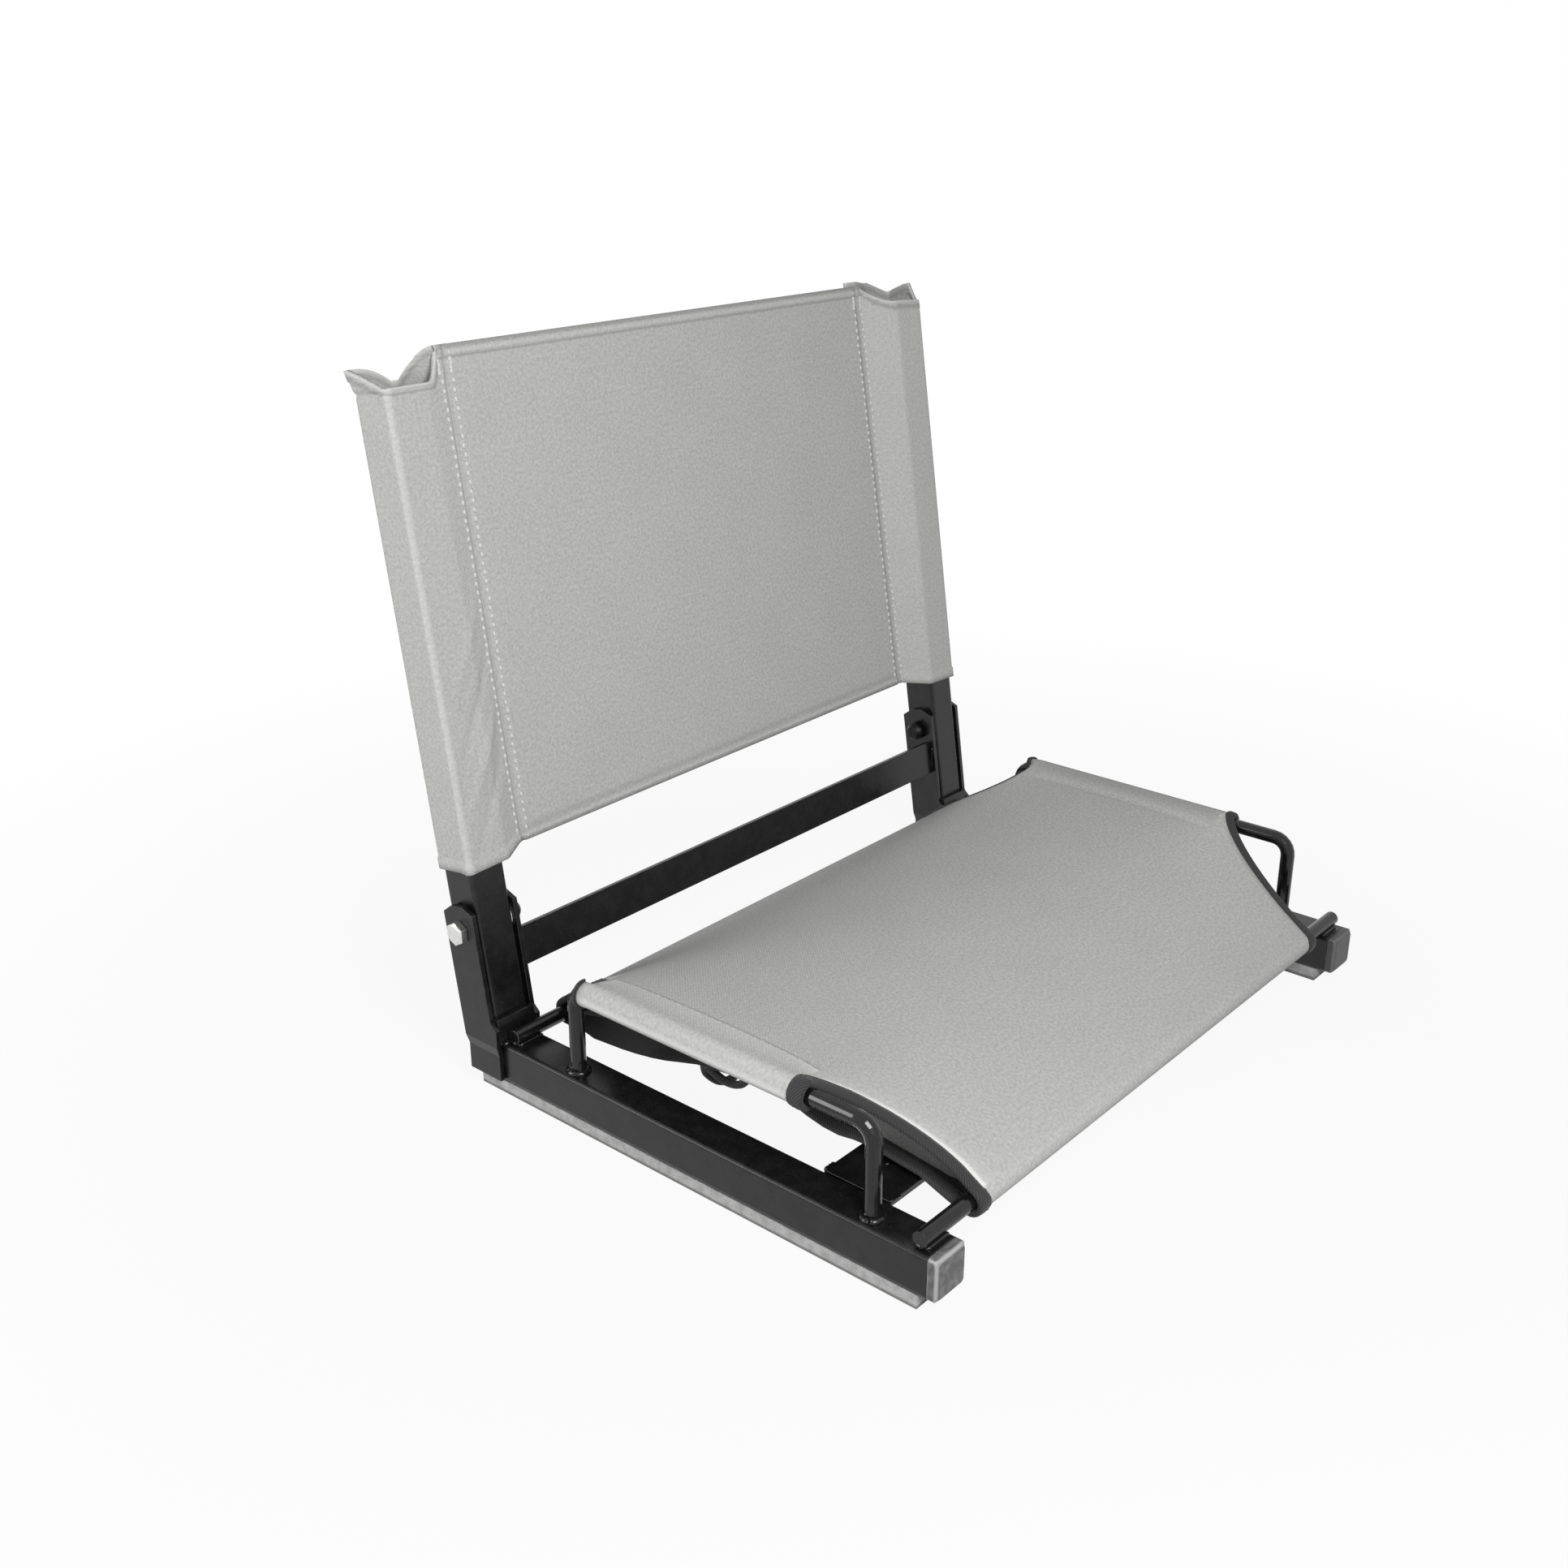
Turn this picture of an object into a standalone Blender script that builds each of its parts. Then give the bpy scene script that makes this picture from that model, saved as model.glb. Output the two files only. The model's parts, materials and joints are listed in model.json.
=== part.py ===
"""A folding stadium chair: a slung canvas seat and a folding slung back on a low steel frame.

The chair faces -Y, +Z is up, and "left" is the -X side, which is on the left when the chair is seen
from the front. While the pieces are made, y is counted rearwards from the front faces of the rail
caps. At the end everything is shifted so that the origin is the bottom centre of the chair.
"""
import math

import bmesh
import bpy
from mathutils import Vector
import numpy as np

MM = 0.001

# Frame sizes
CHAIR_WIDTH = 480.0 * MM        # over the outer faces of the rails
RAIL_LENGTH = 341.0 * MM        # a rail tube without its cap
TUBE = 25.4 * MM                # square tube of the rails and uprights
TUBE_WALL = 1.6 * MM
TUBE_CORNER = 2.4 * MM          # outer corner radius of the tube
CAP_FLANGE = 6.0 * MM           # what shows of a rail cap
CAP_BEVEL = 1.8 * MM
CAP_PLUG = 15.0 * MM            # what is pushed into the tube
STRIP_THICK = 9.0 * MM          # rubber strip under each rail
STRIP_FRONT_INSET = 12.0 * MM   # from the cap's face
STRIP_REAR_INSET = 4.0 * MM     # from the rail's rear end
STRIP_SIDE_INSET = 0.4 * MM
STRIP_BEVEL = 1.0 * MM
PLATE_FRONT = 48.5 * MM         # front cross plate, from the cap faces
PLATE_DEPTH = 44.5 * MM
PLATE_THICK = 3.0 * MM
ROD = 9.5 * MM                  # round rod that carries the seat
ROD_OVERHANG = 4.0 * MM         # cross rods end this far inside the rails' outer faces
FRONT_ROD_Y = 14.0 * MM
REAR_ROD_GAP = 1.0 * MM         # between the rear rod and the stop plates
SEAT_ROD_OUTSET = 3.0 * MM      # side seat rods, outside the middle of the rails
SEAT_ROD_HEIGHT = 54.8 * MM     # middle of the side seat rods above the rails
SEAT_ROD_FRONT = 47.9 * MM      # middle of the front post
SEAT_ROD_REACH = 217.9 * MM     # between the middles of the two posts
SEAT_ROD_BEND = 11.0 * MM       # bend radius of the rod's middle line

# Hinge sizes
RECLINE = math.radians(8.66)
PIVOT_RISE = 69.1 * MM          # pivot above the rails
PIVOT_SETBACK = 0.7 * MM        # pivot behind the rails' rear ends
SWING_CLEAR = 1.9 * MM          # between the uprights' lower corners and the rails as they swing
UPRIGHT_ABOVE_PIVOT = 308.0 * MM
TOP_FLANGE = 3.0 * MM           # end plug of an upright
EAR_THICK = 3.0 * MM
EAR_WIDTH = 26.1 * MM
EAR_TOP = 16.0 * MM             # above the pivot, along the lean
EAR_SHOULDER = 11.5 * MM
EAR_TOP_WIDTH = 10.0 * MM
EAR_FOOT_DROP = 24.0 * MM       # how far an ear reaches down the side of its rail
EAR_FOOT_FLARE = 4.5 * MM        # how far its foot steps forward
EAR_FOOT_OVERHANG = 2.0 * MM     # how far its foot reaches behind the rail
EAR_FLARE_LOW = 10.0 * MM        # the step, above the rail
EAR_FLARE_HIGH = 14.0 * MM
EAR_JOGGLE_LOW = 7.0 * MM
EAR_JOGGLE_HIGH = 1.0 * MM
STOP_HEIGHT = 16.0 * MM
STOP_THICK = 3.0 * MM
CROSSBAR_HEIGHT = 24.6 * MM
CROSSBAR_THICK = 3.0 * MM
CROSSBAR_BELOW_PIVOT = 21.1 * MM
CROSSBAR_SETBACK = 3.5 * MM     # behind the ears' front edges
BOLT = 8.0 * MM
BOLT_HEAD_FLATS = 13.0 * MM
BOLT_HEAD_HEIGHT = 5.3 * MM
BOLT_HEAD_BEVEL = 1.0 * MM
BOLT_IN_NUT = 4.8 * MM          # how far the bolt's end reaches into its nut
NUT_HEIGHT = 8.0 * MM
NUT_FLATS_HEIGHT = 4.8 * MM
NUT_SHOULDER = 0.8 * MM         # between the nut's flats and its dome
NUT_HOLE_DEPTH = 6.0 * MM
NUT_CROWN = 9.0 * MM            # flat top of the domed nut, across
WASHER = 20.0 * MM
WASHER_THICK = 1.2 * MM

# Cloth sizes
CLOTH = 1.4 * MM
WRAP_EASE = 0.5 * MM            # slack of the cloth and its tape round a rod
TAPE_THICK = 0.8 * MM
TAPE_WIDTH = 9.0 * MM
SLEEVE_FRONT = 90.0 * MM        # front end of the seat's side sleeves
NOTCH_WIDTH = 36.3 * MM         # corner notches of the seat, inwards from the side rods
NOTCH_FRONT = 22.0 * MM         # where the front notches run out, from the cap faces
NOTCH_REAR = 25.0 * MM          # where the rear notches run out, in front of the rear rod
SIDE_SEAM = 16.0 * MM           # seam of a side sleeve, inwards from its rod
SIDE_LEAVE = math.radians(14.0)   # slope at which the sheet leaves the side rods
EDGE_LEAVE = math.radians(24.0)   # and the cross rods
SLEEVE_TUCK = math.radians(20.0)  # how far past the rod's underside a side sleeve hugs it
TENSION_RATIO = 3.5             # crosswise pull of the seat over its lengthwise pull
FLAP_LENGTH = 145.0 * MM        # front under-flap, from its rod
FLAP_GAP = 25.4 * MM            # between the ends of the two flaps, closed by the lacing
FLAP_TAPER = 18.0 * MM          # how much narrower a flap is at its end, each side
FLAP_RISE_RUN = 32.0 * MM       # run in which a flap climbs from its rod to its level part
EYELET = 9.0 * MM
EYELET_INSET = 9.0 * MM         # middle of the eyelets from the flap's end
EYELET_SIDE_MARGIN = 7.0 * MM   # outermost eyelets from the bound edges
EYELETS = 6
LACE = 5.0 * MM
LACE_SAG = 8.0 * MM             # how far the lower runs of the lacing hang under the flaps
LACE_PULL = 3.0 * MM            # how far its turns are drawn from the eyelets towards the gap
LACE_EASE = 1.2 * MM            # how much a lower run rises at its ends
LACE_TAIL_DROP = 18.0 * MM      # how far the free end of the lacing hangs under the rear flap
LACE_TAIL_OUT = 11.0 * MM       # how far it lies outside the first eyelets
LACE_TAIL_REACH = 34.0 * MM     # how far it reaches behind them
SEAM_INSET = 36.0 * MM          # back sling's sleeve seams at mid height, inwards from the uprights
SEAM_LEAN = 2.8 * MM            # how much that differs at the top and the bottom
SLING_BOTTOM = 42.0 * MM        # back sling, along the uprights from the pivot
SLING_RISE = 27.0 * MM          # panel's top edge, above the uprights
SLEEVE_BOTTOM = 37.4 * MM
SLEEVE_RISE_FRONT = 9.5 * MM    # tops of the sleeves, above the uprights
SLEEVE_RISE_REAR = 20.0 * MM
SLEEVE_RISE_DIP = 12.0 * MM
SLEEVE_EASE = 0.5 * MM
SLEEVE_CORNER = 2.0 * MM

# Fits and resolution
FIT = 0.3 * MM                  # gap between pieces that touch
FULL_TURN = 24                  # sides of bolts, nuts and holes
ROD_SIDES = 16
BEND_STEPS = 6
CORNER_STEPS = 3
ARC_STEPS = 5
WRAP_STEPS = 4
SLEEVE_STEPS = 7
SLEEVE_ROWS = 3
PANEL_COLUMNS = 7
SLING_ROWS = 6
LACE_STEPS = 3
LACE_TURN_APART = 4             # turns this many thicknesses apart along the lacing may not touch
SHARP_ANGLE = math.radians(35.0)

# Lines that the pieces share
RAIL_X = (CHAIR_WIDTH - TUBE) / 2
RAIL_BASE = STRIP_THICK + FIT
RAIL_TOP = RAIL_BASE + TUBE
RAIL_FRONT = CAP_FLANGE + FIT
RAIL_REAR = RAIL_FRONT + RAIL_LENGTH
ROD_Z = RAIL_TOP + FIT + ROD / 2
CROSS_ROD_REACH = CHAIR_WIDTH / 2 - ROD_OVERHANG
SEAT_ROD_X = RAIL_X + SEAT_ROD_OUTSET
SEAT_ROD_Z = RAIL_TOP + SEAT_ROD_HEIGHT
PIVOT_Y = RAIL_REAR + PIVOT_SETBACK
PIVOT_Z = RAIL_TOP + PIVOT_RISE
EAR_INNER = TUBE / 2 + WASHER_THICK + 2 * FIT   # an ear's inner face, from the middle of its upright
EAR_OUTER = EAR_INNER + EAR_THICK
EAR_ON_RAIL = TUBE / 2 + FIT
WRAP = ROD / 2 + WRAP_EASE + TAPE_THICK + FIT + CLOTH / 2   # radius of the cloth's middle round a rod
SIDES = (("left", -1.0), ("right", 1.0))


def lean(along, behind):
    """The y and z of a point given along the reclined uprights from the pivot, and behind them."""
    y = PIVOT_Y + along * math.sin(RECLINE) + behind * math.cos(RECLINE)
    z = PIVOT_Z + along * math.cos(RECLINE) - behind * math.sin(RECLINE)
    return y, z


def lean_y(z, behind):
    """The y at height z on a line that leans with the uprights."""
    along = (z - PIVOT_Z + behind * math.sin(RECLINE)) / math.cos(RECLINE)
    return lean(along, behind)[0]


STOP_FRONT = -(TUBE / 2 + FIT + STOP_THICK)
REAR_ROD_Y = lean_y(ROD_Z, STOP_FRONT) - REAR_ROD_GAP - ROD / 2
REAR_FLAP_LENGTH = REAR_ROD_Y - FRONT_ROD_Y - FLAP_LENGTH - FLAP_GAP


# Materials
def paint(name, hex_colour, roughness, metallic):
    """A plain material from an sRGB hex colour."""
    channels = []
    for start in (0, 2, 4):
        value = int(hex_colour[start:start + 2], 16) / 255
        channels.append(value / 12.92 if value <= 0.04045 else ((value + 0.055) / 1.055) ** 2.4)
    material = bpy.data.materials.new(name)
    material.use_nodes = True
    shader = material.node_tree.nodes["Principled BSDF"]
    shader.inputs["Base Color"].default_value = (*channels, 1.0)
    shader.inputs["Roughness"].default_value = roughness
    shader.inputs["Metallic"].default_value = metallic
    return material


# Mesh helpers
def add_object(name, bm, material, parent=None, location=(0, 0, 0), rotation=(0, 0, 0)):
    """Turns a bmesh into a named object with smooth round faces and sharp edges."""
    bmesh.ops.recalc_face_normals(bm, faces=bm.faces[:])
    mesh = bpy.data.meshes.new(name)
    bm.to_mesh(mesh)
    bm.free()
    mesh.shade_smooth()
    mesh.set_sharp_from_angle(angle=SHARP_ANGLE)
    mesh.materials.append(material)
    obj = bpy.data.objects.new(name, mesh)
    obj.location = location
    obj.rotation_euler = rotation
    obj.parent = parent
    bpy.context.scene.collection.objects.link(obj)
    return obj


def loft(bm, loops, ring=False):
    """Joins loops of points into a skin, closed with end faces or, as a ring, onto itself."""
    rows = [[bm.verts.new(point) for point in loop] for loop in loops]
    count = len(rows[0])
    pairs = list(zip(rows, rows[1:]))
    if ring:
        pairs.append((rows[-1], rows[0]))
    for low, high in pairs:
        for index in range(count):
            following = (index + 1) % count
            bm.faces.new((low[index], low[following], high[following], high[index]))
    if not ring:
        bm.faces.new(rows[0][::-1])
        bm.faces.new(rows[-1])


def circle(radius, z, count=FULL_TURN):
    """A level circle of points."""
    turns = [2 * math.pi * index / count for index in range(count)]
    return [Vector((radius * math.cos(turn), radius * math.sin(turn), z)) for turn in turns]


def hexagon(flats, z):
    """A level hexagon with as many points as a circle, so that the two can be lofted."""
    points = []
    sixth = math.pi / 3
    for index in range(FULL_TURN):
        turn = 2 * math.pi * index / FULL_TURN
        radius = flats / 2 / math.cos(turn % sixth - sixth / 2)
        points.append(Vector((radius * math.cos(turn), radius * math.sin(turn), z)))
    return points


def rounded_square(half, radius, z):
    """A level square of points with round corners."""
    points = []
    for corner in range(4):
        middle = math.pi / 4 + corner * math.pi / 2
        centre_x = math.copysign(half - radius, math.cos(middle))
        centre_y = math.copysign(half - radius, math.sin(middle))
        for step in range(CORNER_STEPS + 1):
            turn = corner * math.pi / 2 + step / CORNER_STEPS * math.pi / 2
            x = centre_x + radius * math.cos(turn)
            y = centre_y + radius * math.sin(turn)
            points.append(Vector((x, y, z)))
    return points


def prism_along_x(outline, x_low, x_high):
    """A bmesh of a (y, z) outline drawn out along X."""
    bm = bmesh.new()
    loops = [[Vector((x, y, z)) for y, z in outline] for x in (x_low, x_high)]
    loft(bm, loops)
    return bm


def rod_mesh(path):
    """A bmesh of a round rod along a path that lies in a plane of constant x, or along X."""
    bm = bmesh.new()
    loops = []
    for index, point in enumerate(path):
        before = path[max(index - 1, 0)]
        after = path[min(index + 1, len(path) - 1)]
        tangent = (after - before).normalized()
        across = Vector((0, 1, 0)) if abs(tangent.x) > 0.5 else Vector((1, 0, 0))
        other = tangent.cross(across)
        loop = []
        for side in range(ROD_SIDES):
            turn = 2 * math.pi * side / ROD_SIDES
            loop.append(point + (across * math.cos(turn) + other * math.sin(turn)) * ROD / 2)
        loops.append(loop)
    loft(bm, loops)
    return bm


# Frame pieces
def tube(name, length, material, parent, location, rotation):
    """A square tube that runs from its origin along its own Z."""
    inner = TUBE / 2 - TUBE_WALL
    inner_corner = max(TUBE_CORNER - TUBE_WALL, FIT)
    bm = bmesh.new()
    loft(bm, (
        rounded_square(TUBE / 2, TUBE_CORNER, 0),
        rounded_square(TUBE / 2, TUBE_CORNER, length),
        rounded_square(inner, inner_corner, length),
        rounded_square(inner, inner_corner, 0),
    ), ring=True)
    return add_object(name, bm, material, parent, location, rotation)


def tube_cap(name, flange, material, parent, location, rotation):
    """A moulded cap on the tube's end: its plug reaches down from the origin, its flange stands on it."""
    plug = TUBE / 2 - TUBE_WALL - FIT
    plug_corner = max(TUBE_CORNER - TUBE_WALL, FIT)
    bevel = min(CAP_BEVEL, flange / 2)
    bm = bmesh.new()
    loft(bm, (
        rounded_square(plug, plug_corner, -CAP_PLUG),
        rounded_square(plug, plug_corner, FIT),
        rounded_square(TUBE / 2, TUBE_CORNER, FIT),
        rounded_square(TUBE / 2, TUBE_CORNER, FIT + flange - bevel),
        rounded_square(TUBE / 2 - bevel, TUBE_CORNER, FIT + flange),
    ))
    return add_object(name, bm, material, parent, location, rotation)


def rubber_strip(name, x, material):
    """The strip that a rail stands on, with its lower edges eased."""
    half = TUBE / 2 - STRIP_SIDE_INSET
    front = STRIP_FRONT_INSET
    rear = RAIL_REAR - STRIP_REAR_INSET
    bm = bmesh.new()
    loops = []
    for inset, z in ((STRIP_BEVEL, 0), (0, STRIP_BEVEL), (0, STRIP_THICK)):
        corners = ((-1, front + inset), (1, front + inset), (1, rear - inset), (-1, rear - inset))
        loops.append([Vector((x + sign * (half - inset), y, z)) for sign, y in corners])
    loft(bm, loops)
    return add_object(name, bm, material)


def ear(name, middle, side, material):
    """A plate beside an upright; its foot is set in against the side of the rail."""
    half = EAR_WIDTH / 2
    flare_low = RAIL_TOP + EAR_FLARE_LOW
    flare_high = RAIL_TOP + EAR_FLARE_HIGH
    front_high = lean_y(flare_high, -half)
    foot_front = front_high - EAR_FOOT_FLARE
    foot_rear = RAIL_REAR + EAR_FOOT_OVERHANG
    foot_z = RAIL_TOP - EAR_FOOT_DROP
    joggle_low = RAIL_TOP - EAR_JOGGLE_LOW
    joggle_high = RAIL_TOP - EAR_JOGGLE_HIGH
    rows = (
        ((foot_front, foot_z), (foot_rear, foot_z), EAR_ON_RAIL),
        ((foot_front, joggle_low), (foot_rear, joggle_low), EAR_ON_RAIL),
        ((foot_front, joggle_high), (lean_y(joggle_high, half), joggle_high), EAR_INNER),
        ((foot_front, flare_low), (lean_y(flare_low, half), flare_low), EAR_INNER),
        ((front_high, flare_high), (lean_y(flare_high, half), flare_high), EAR_INNER),
        (lean(EAR_SHOULDER, -half), lean(EAR_SHOULDER, half), EAR_INNER),
        (lean(EAR_TOP, -EAR_TOP_WIDTH / 2), lean(EAR_TOP, EAR_TOP_WIDTH / 2), EAR_INNER),
    )
    bm = bmesh.new()
    loops = []
    for front, rear, offset in rows:
        near = middle + side * offset
        far = near + side * EAR_THICK
        corners = ((near, front), (near, rear), (far, rear), (far, front))
        loops.append([Vector((x, *place)) for x, place in corners])
    loft(bm, loops)
    return add_object(name, bm, material)


def stop_plate(name, middle, material):
    """The plate on the rail that the leaning upright rests against."""
    low = RAIL_TOP + FIT
    high = RAIL_TOP + STOP_HEIGHT
    rear = STOP_FRONT + STOP_THICK
    outline = [
        (lean_y(low, STOP_FRONT), low),
        (lean_y(low, rear), low),
        (lean_y(high, rear), high),
        (lean_y(high, STOP_FRONT), high),
    ]
    half = EAR_INNER - FIT
    return add_object(name, prism_along_x(outline, middle - half, middle + half), material)


def bar_across(name, outline, reach, material):
    """A flat bar or plate across the chair."""
    return add_object(name, prism_along_x(outline, -reach, reach), material)


def crossbar(name, material):
    """The flat bar between the inner ears, leaning with them."""
    front = -EAR_WIDTH / 2 + CROSSBAR_SETBACK
    rear = front + CROSSBAR_THICK
    low = -CROSSBAR_BELOW_PIVOT - CROSSBAR_HEIGHT / 2
    high = low + CROSSBAR_HEIGHT
    outline = [lean(low, front), lean(low, rear), lean(high, rear), lean(high, front)]
    return bar_across(name, outline, RAIL_X - EAR_OUTER - FIT, material)


def cross_plate(name, material):
    """The thin plate between the rails at the front, level with their tops."""
    rear = PLATE_FRONT + PLATE_DEPTH
    low = RAIL_TOP - PLATE_THICK
    outline = [(PLATE_FRONT, low), (rear, low), (rear, RAIL_TOP), (PLATE_FRONT, RAIL_TOP)]
    return bar_across(name, outline, RAIL_X - TUBE / 2 - FIT, material)


def cross_rod(name, y, material):
    """A straight rod that lies across both rails."""
    path = [Vector((x, y, ROD_Z)) for x in (-CROSS_ROD_REACH, CROSS_ROD_REACH)]
    return add_object(name, rod_mesh(path), material)


def seat_rod(name, x, material):
    """A rod bent twice, whose two posts stand on a rail."""
    front = SEAT_ROD_FRONT
    rear = SEAT_ROD_FRONT + SEAT_ROD_REACH
    bend = SEAT_ROD_BEND
    path = [Vector((x, front, RAIL_TOP + FIT))]
    for post, sign, order in ((front, 1, 1), (rear, -1, -1)):
        arc = []
        for step in range(BEND_STEPS + 1):
            turn = step / BEND_STEPS * math.pi / 2
            y = post + sign * bend * (1 - math.cos(turn))
            z = SEAT_ROD_Z - bend * (1 - math.sin(turn))
            arc.append(Vector((x, y, z)))
        path.extend(arc[::order])
    path.append(Vector((x, rear, RAIL_TOP + FIT)))
    return add_object(name, rod_mesh(path), material)


# Hinge pieces
def pivot_turn(side):
    """The rotation that points an object's own Z outwards along the pivot."""
    return (0, side * math.pi / 2, 0)


def pivot_bolt(name, side, material):
    """A hexagon bolt whose head lies on the outer ear."""
    head = EAR_OUTER + FIT
    tip = -(EAR_OUTER + FIT + BOLT_IN_NUT)
    bm = bmesh.new()
    loft(bm, (
        circle(BOLT / 2, tip),
        circle(BOLT / 2, head),
        hexagon(BOLT_HEAD_FLATS, head),
        hexagon(BOLT_HEAD_FLATS, head + BOLT_HEAD_HEIGHT - BOLT_HEAD_BEVEL),
        circle(BOLT_HEAD_FLATS / 2 - BOLT_HEAD_BEVEL, head + BOLT_HEAD_HEIGHT),
    ))
    return add_object(name, bm, material, None, (side * RAIL_X, PIVOT_Y, PIVOT_Z), pivot_turn(side))


def pivot_nut(name, side, material):
    """A low domed nut on the inner ear, with a blind hole for the bolt's end."""
    seat = -(EAR_OUTER + FIT)
    hole = BOLT / 2 + FIT
    bm = bmesh.new()
    loft(bm, (
        circle(hole, seat - NUT_HOLE_DEPTH),
        circle(hole, seat),
        hexagon(BOLT_HEAD_FLATS, seat),
        hexagon(BOLT_HEAD_FLATS, seat - NUT_FLATS_HEIGHT),
        circle(BOLT_HEAD_FLATS / 2, seat - NUT_FLATS_HEIGHT - NUT_SHOULDER),
        circle(NUT_CROWN / 2, seat - NUT_HEIGHT),
    ))
    return add_object(name, bm, material, None, (side * RAIL_X, PIVOT_Y, PIVOT_Z), pivot_turn(side))


def pivot_washer(name, side, place, material):
    """A thin washer between an upright and an ear; place is 1 for the outer ear and -1 for the inner."""
    near = place * (TUBE / 2 + FIT)
    far = near + place * WASHER_THICK
    hole = BOLT / 2 + FIT
    bm = bmesh.new()
    loft(bm, (
        circle(WASHER / 2, near),
        circle(WASHER / 2, far),
        circle(hole, far),
        circle(hole, near),
    ), ring=True)
    return add_object(name, bm, material, None, (side * RAIL_X, PIVOT_Y, PIVOT_Z), pivot_turn(side))


def pivot_drill(name, side):
    """A guide cylinder that cuts the bolt's hole."""
    reach = EAR_OUTER + EAR_THICK
    bm = bmesh.new()
    loft(bm, (circle(BOLT / 2 + FIT, -reach), circle(BOLT / 2 + FIT, reach)))
    mesh = bpy.data.meshes.new(name)
    bmesh.ops.recalc_face_normals(bm, faces=bm.faces[:])
    bm.to_mesh(mesh)
    bm.free()
    drill = bpy.data.objects.new(name, mesh)
    drill.location = (side * RAIL_X, PIVOT_Y, PIVOT_Z)
    drill.rotation_euler = pivot_turn(side)
    drill.hide_render = True
    drill.display_type = "WIRE"
    bpy.context.scene.collection.objects.link(drill)
    return drill


def cut(obj, cutter):
    """Takes a guide's shape out of an object."""
    modifier = obj.modifiers.new("bolt hole", "BOOLEAN")
    modifier.operation = "DIFFERENCE"
    modifier.solver = "EXACT"
    modifier.object = cutter


# Back sling
def offset_line(points, distance):
    """An open line moved sideways, to the right of its direction, with its corners kept."""
    moved = []
    last = len(points) - 1
    for index, point in enumerate(points):
        normals = []
        for start in (index - 1, index):
            if 0 <= start < last:
                run = (points[start + 1] - points[start]).normalized()
                normals.append(Vector((run.y, -run.x)))
        normal = sum(normals, Vector((0, 0))) / len(normals)
        moved.append(point + normal * distance / normal.length_squared)
    return moved


def sleeve_lines(seam):
    """The inner and outer lines of a sleeve round an upright, as (x, behind) from the upright's middle."""
    half = TUBE / 2 + SLEEVE_EASE
    eased = half - SLEEVE_CORNER
    inner = [
        (-seam, 0),
        (-half, -half),
        (eased, -half),
        (half, -eased),
        (half, eased),
        (eased, half),
        (-half, half),
        (-seam, 0),
    ]
    inner = [Vector(point) for point in inner]
    return inner, offset_line(inner, CLOTH)


def sling_station(share):
    """One level of the back sling: sleeve lines of both sides and the panel's two faces, with heights."""
    rises = (SLING_RISE, SLEEVE_RISE_DIP, SLEEVE_RISE_FRONT, SLEEVE_RISE_FRONT,
             SLEEVE_RISE_REAR, SLEEVE_RISE_REAR, SLEEVE_RISE_DIP, SLING_RISE)
    level = UPRIGHT_ABOVE_PIVOT + FIT + TOP_FLANGE + SLEEVE_EASE
    last = len(rises) - 1
    seam = SEAM_INSET + SEAM_LEAN * (2 * share - 1)
    inner, outer = sleeve_lines(seam)
    heights = []
    for index, rise in enumerate(rises):
        bottom = SLING_BOTTOM if index in (0, last) else SLEEVE_BOTTOM
        straight = bottom + (level - bottom) * share * SLING_ROWS / (SLING_ROWS - 1)
        heights.append(UPRIGHT_ABOVE_PIVOT + rise if share == 1 else straight)
    panel = []
    panel_edge = RAIL_X - seam - 2 * CLOTH
    for column in range(PANEL_COLUMNS):
        panel.append(panel_edge * (2 * column / (PANEL_COLUMNS - 1) - 1))
    return inner, outer, heights, panel


def back_sling(name, material, parent):
    """The back: a flat panel whose two side sleeves go over the uprights, open at both ends."""
    bm = bmesh.new()
    stations = []
    for row in range(SLING_ROWS + 1):
        inner, outer, heights, panel = sling_station(row / SLING_ROWS)
        rings = {}
        for label, sign in SIDES:
            skins = []
            for line in (outer, inner[:-1]):
                points = [Vector((sign * (RAIL_X + p.x), p.y, z)) for p, z in zip(line, heights)]
                skins.append([bm.verts.new(point) for point in points])
            rings[label] = (skins[0], skins[1] + skins[1][:1])
        faces = []
        for behind in (-CLOTH / 2, CLOTH / 2):
            faces.append([bm.verts.new((x, behind, heights[0])) for x in panel])
        left_outer, left_inner = rings["left"]
        right_outer, right_inner = rings["right"]
        outline = right_outer + faces[1][::-1] + left_outer[::-1] + faces[0]
        stations.append((outline, left_inner, right_inner, rings, faces))
    for low, high in zip(stations, stations[1:]):
        for part in range(3):
            count = len(low[part])
            closed = count if part == 0 else count - 1
            for index in range(closed):
                following = (index + 1) % count
                lower, upper = low[part], high[part]
                bm.faces.new((lower[index], lower[following], upper[following], upper[index]))
    for station in (stations[0], stations[-1]):
        rings, faces = station[3], station[4]
        for column in range(PANEL_COLUMNS - 1):
            front, rear = faces
            bm.faces.new((front[column], front[column + 1], rear[column + 1], rear[column]))
        for label, end in (("left", 0), ("right", -1)):
            outer, inner = rings[label]
            for index in range(len(outer) - 1):
                bm.faces.new((outer[index], outer[index + 1], inner[index + 1], inner[index]))
            bm.faces.new((inner[0], outer[0], faces[0][end], faces[1][end], outer[-1]))
    return add_object(name, bm, material, parent)


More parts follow.
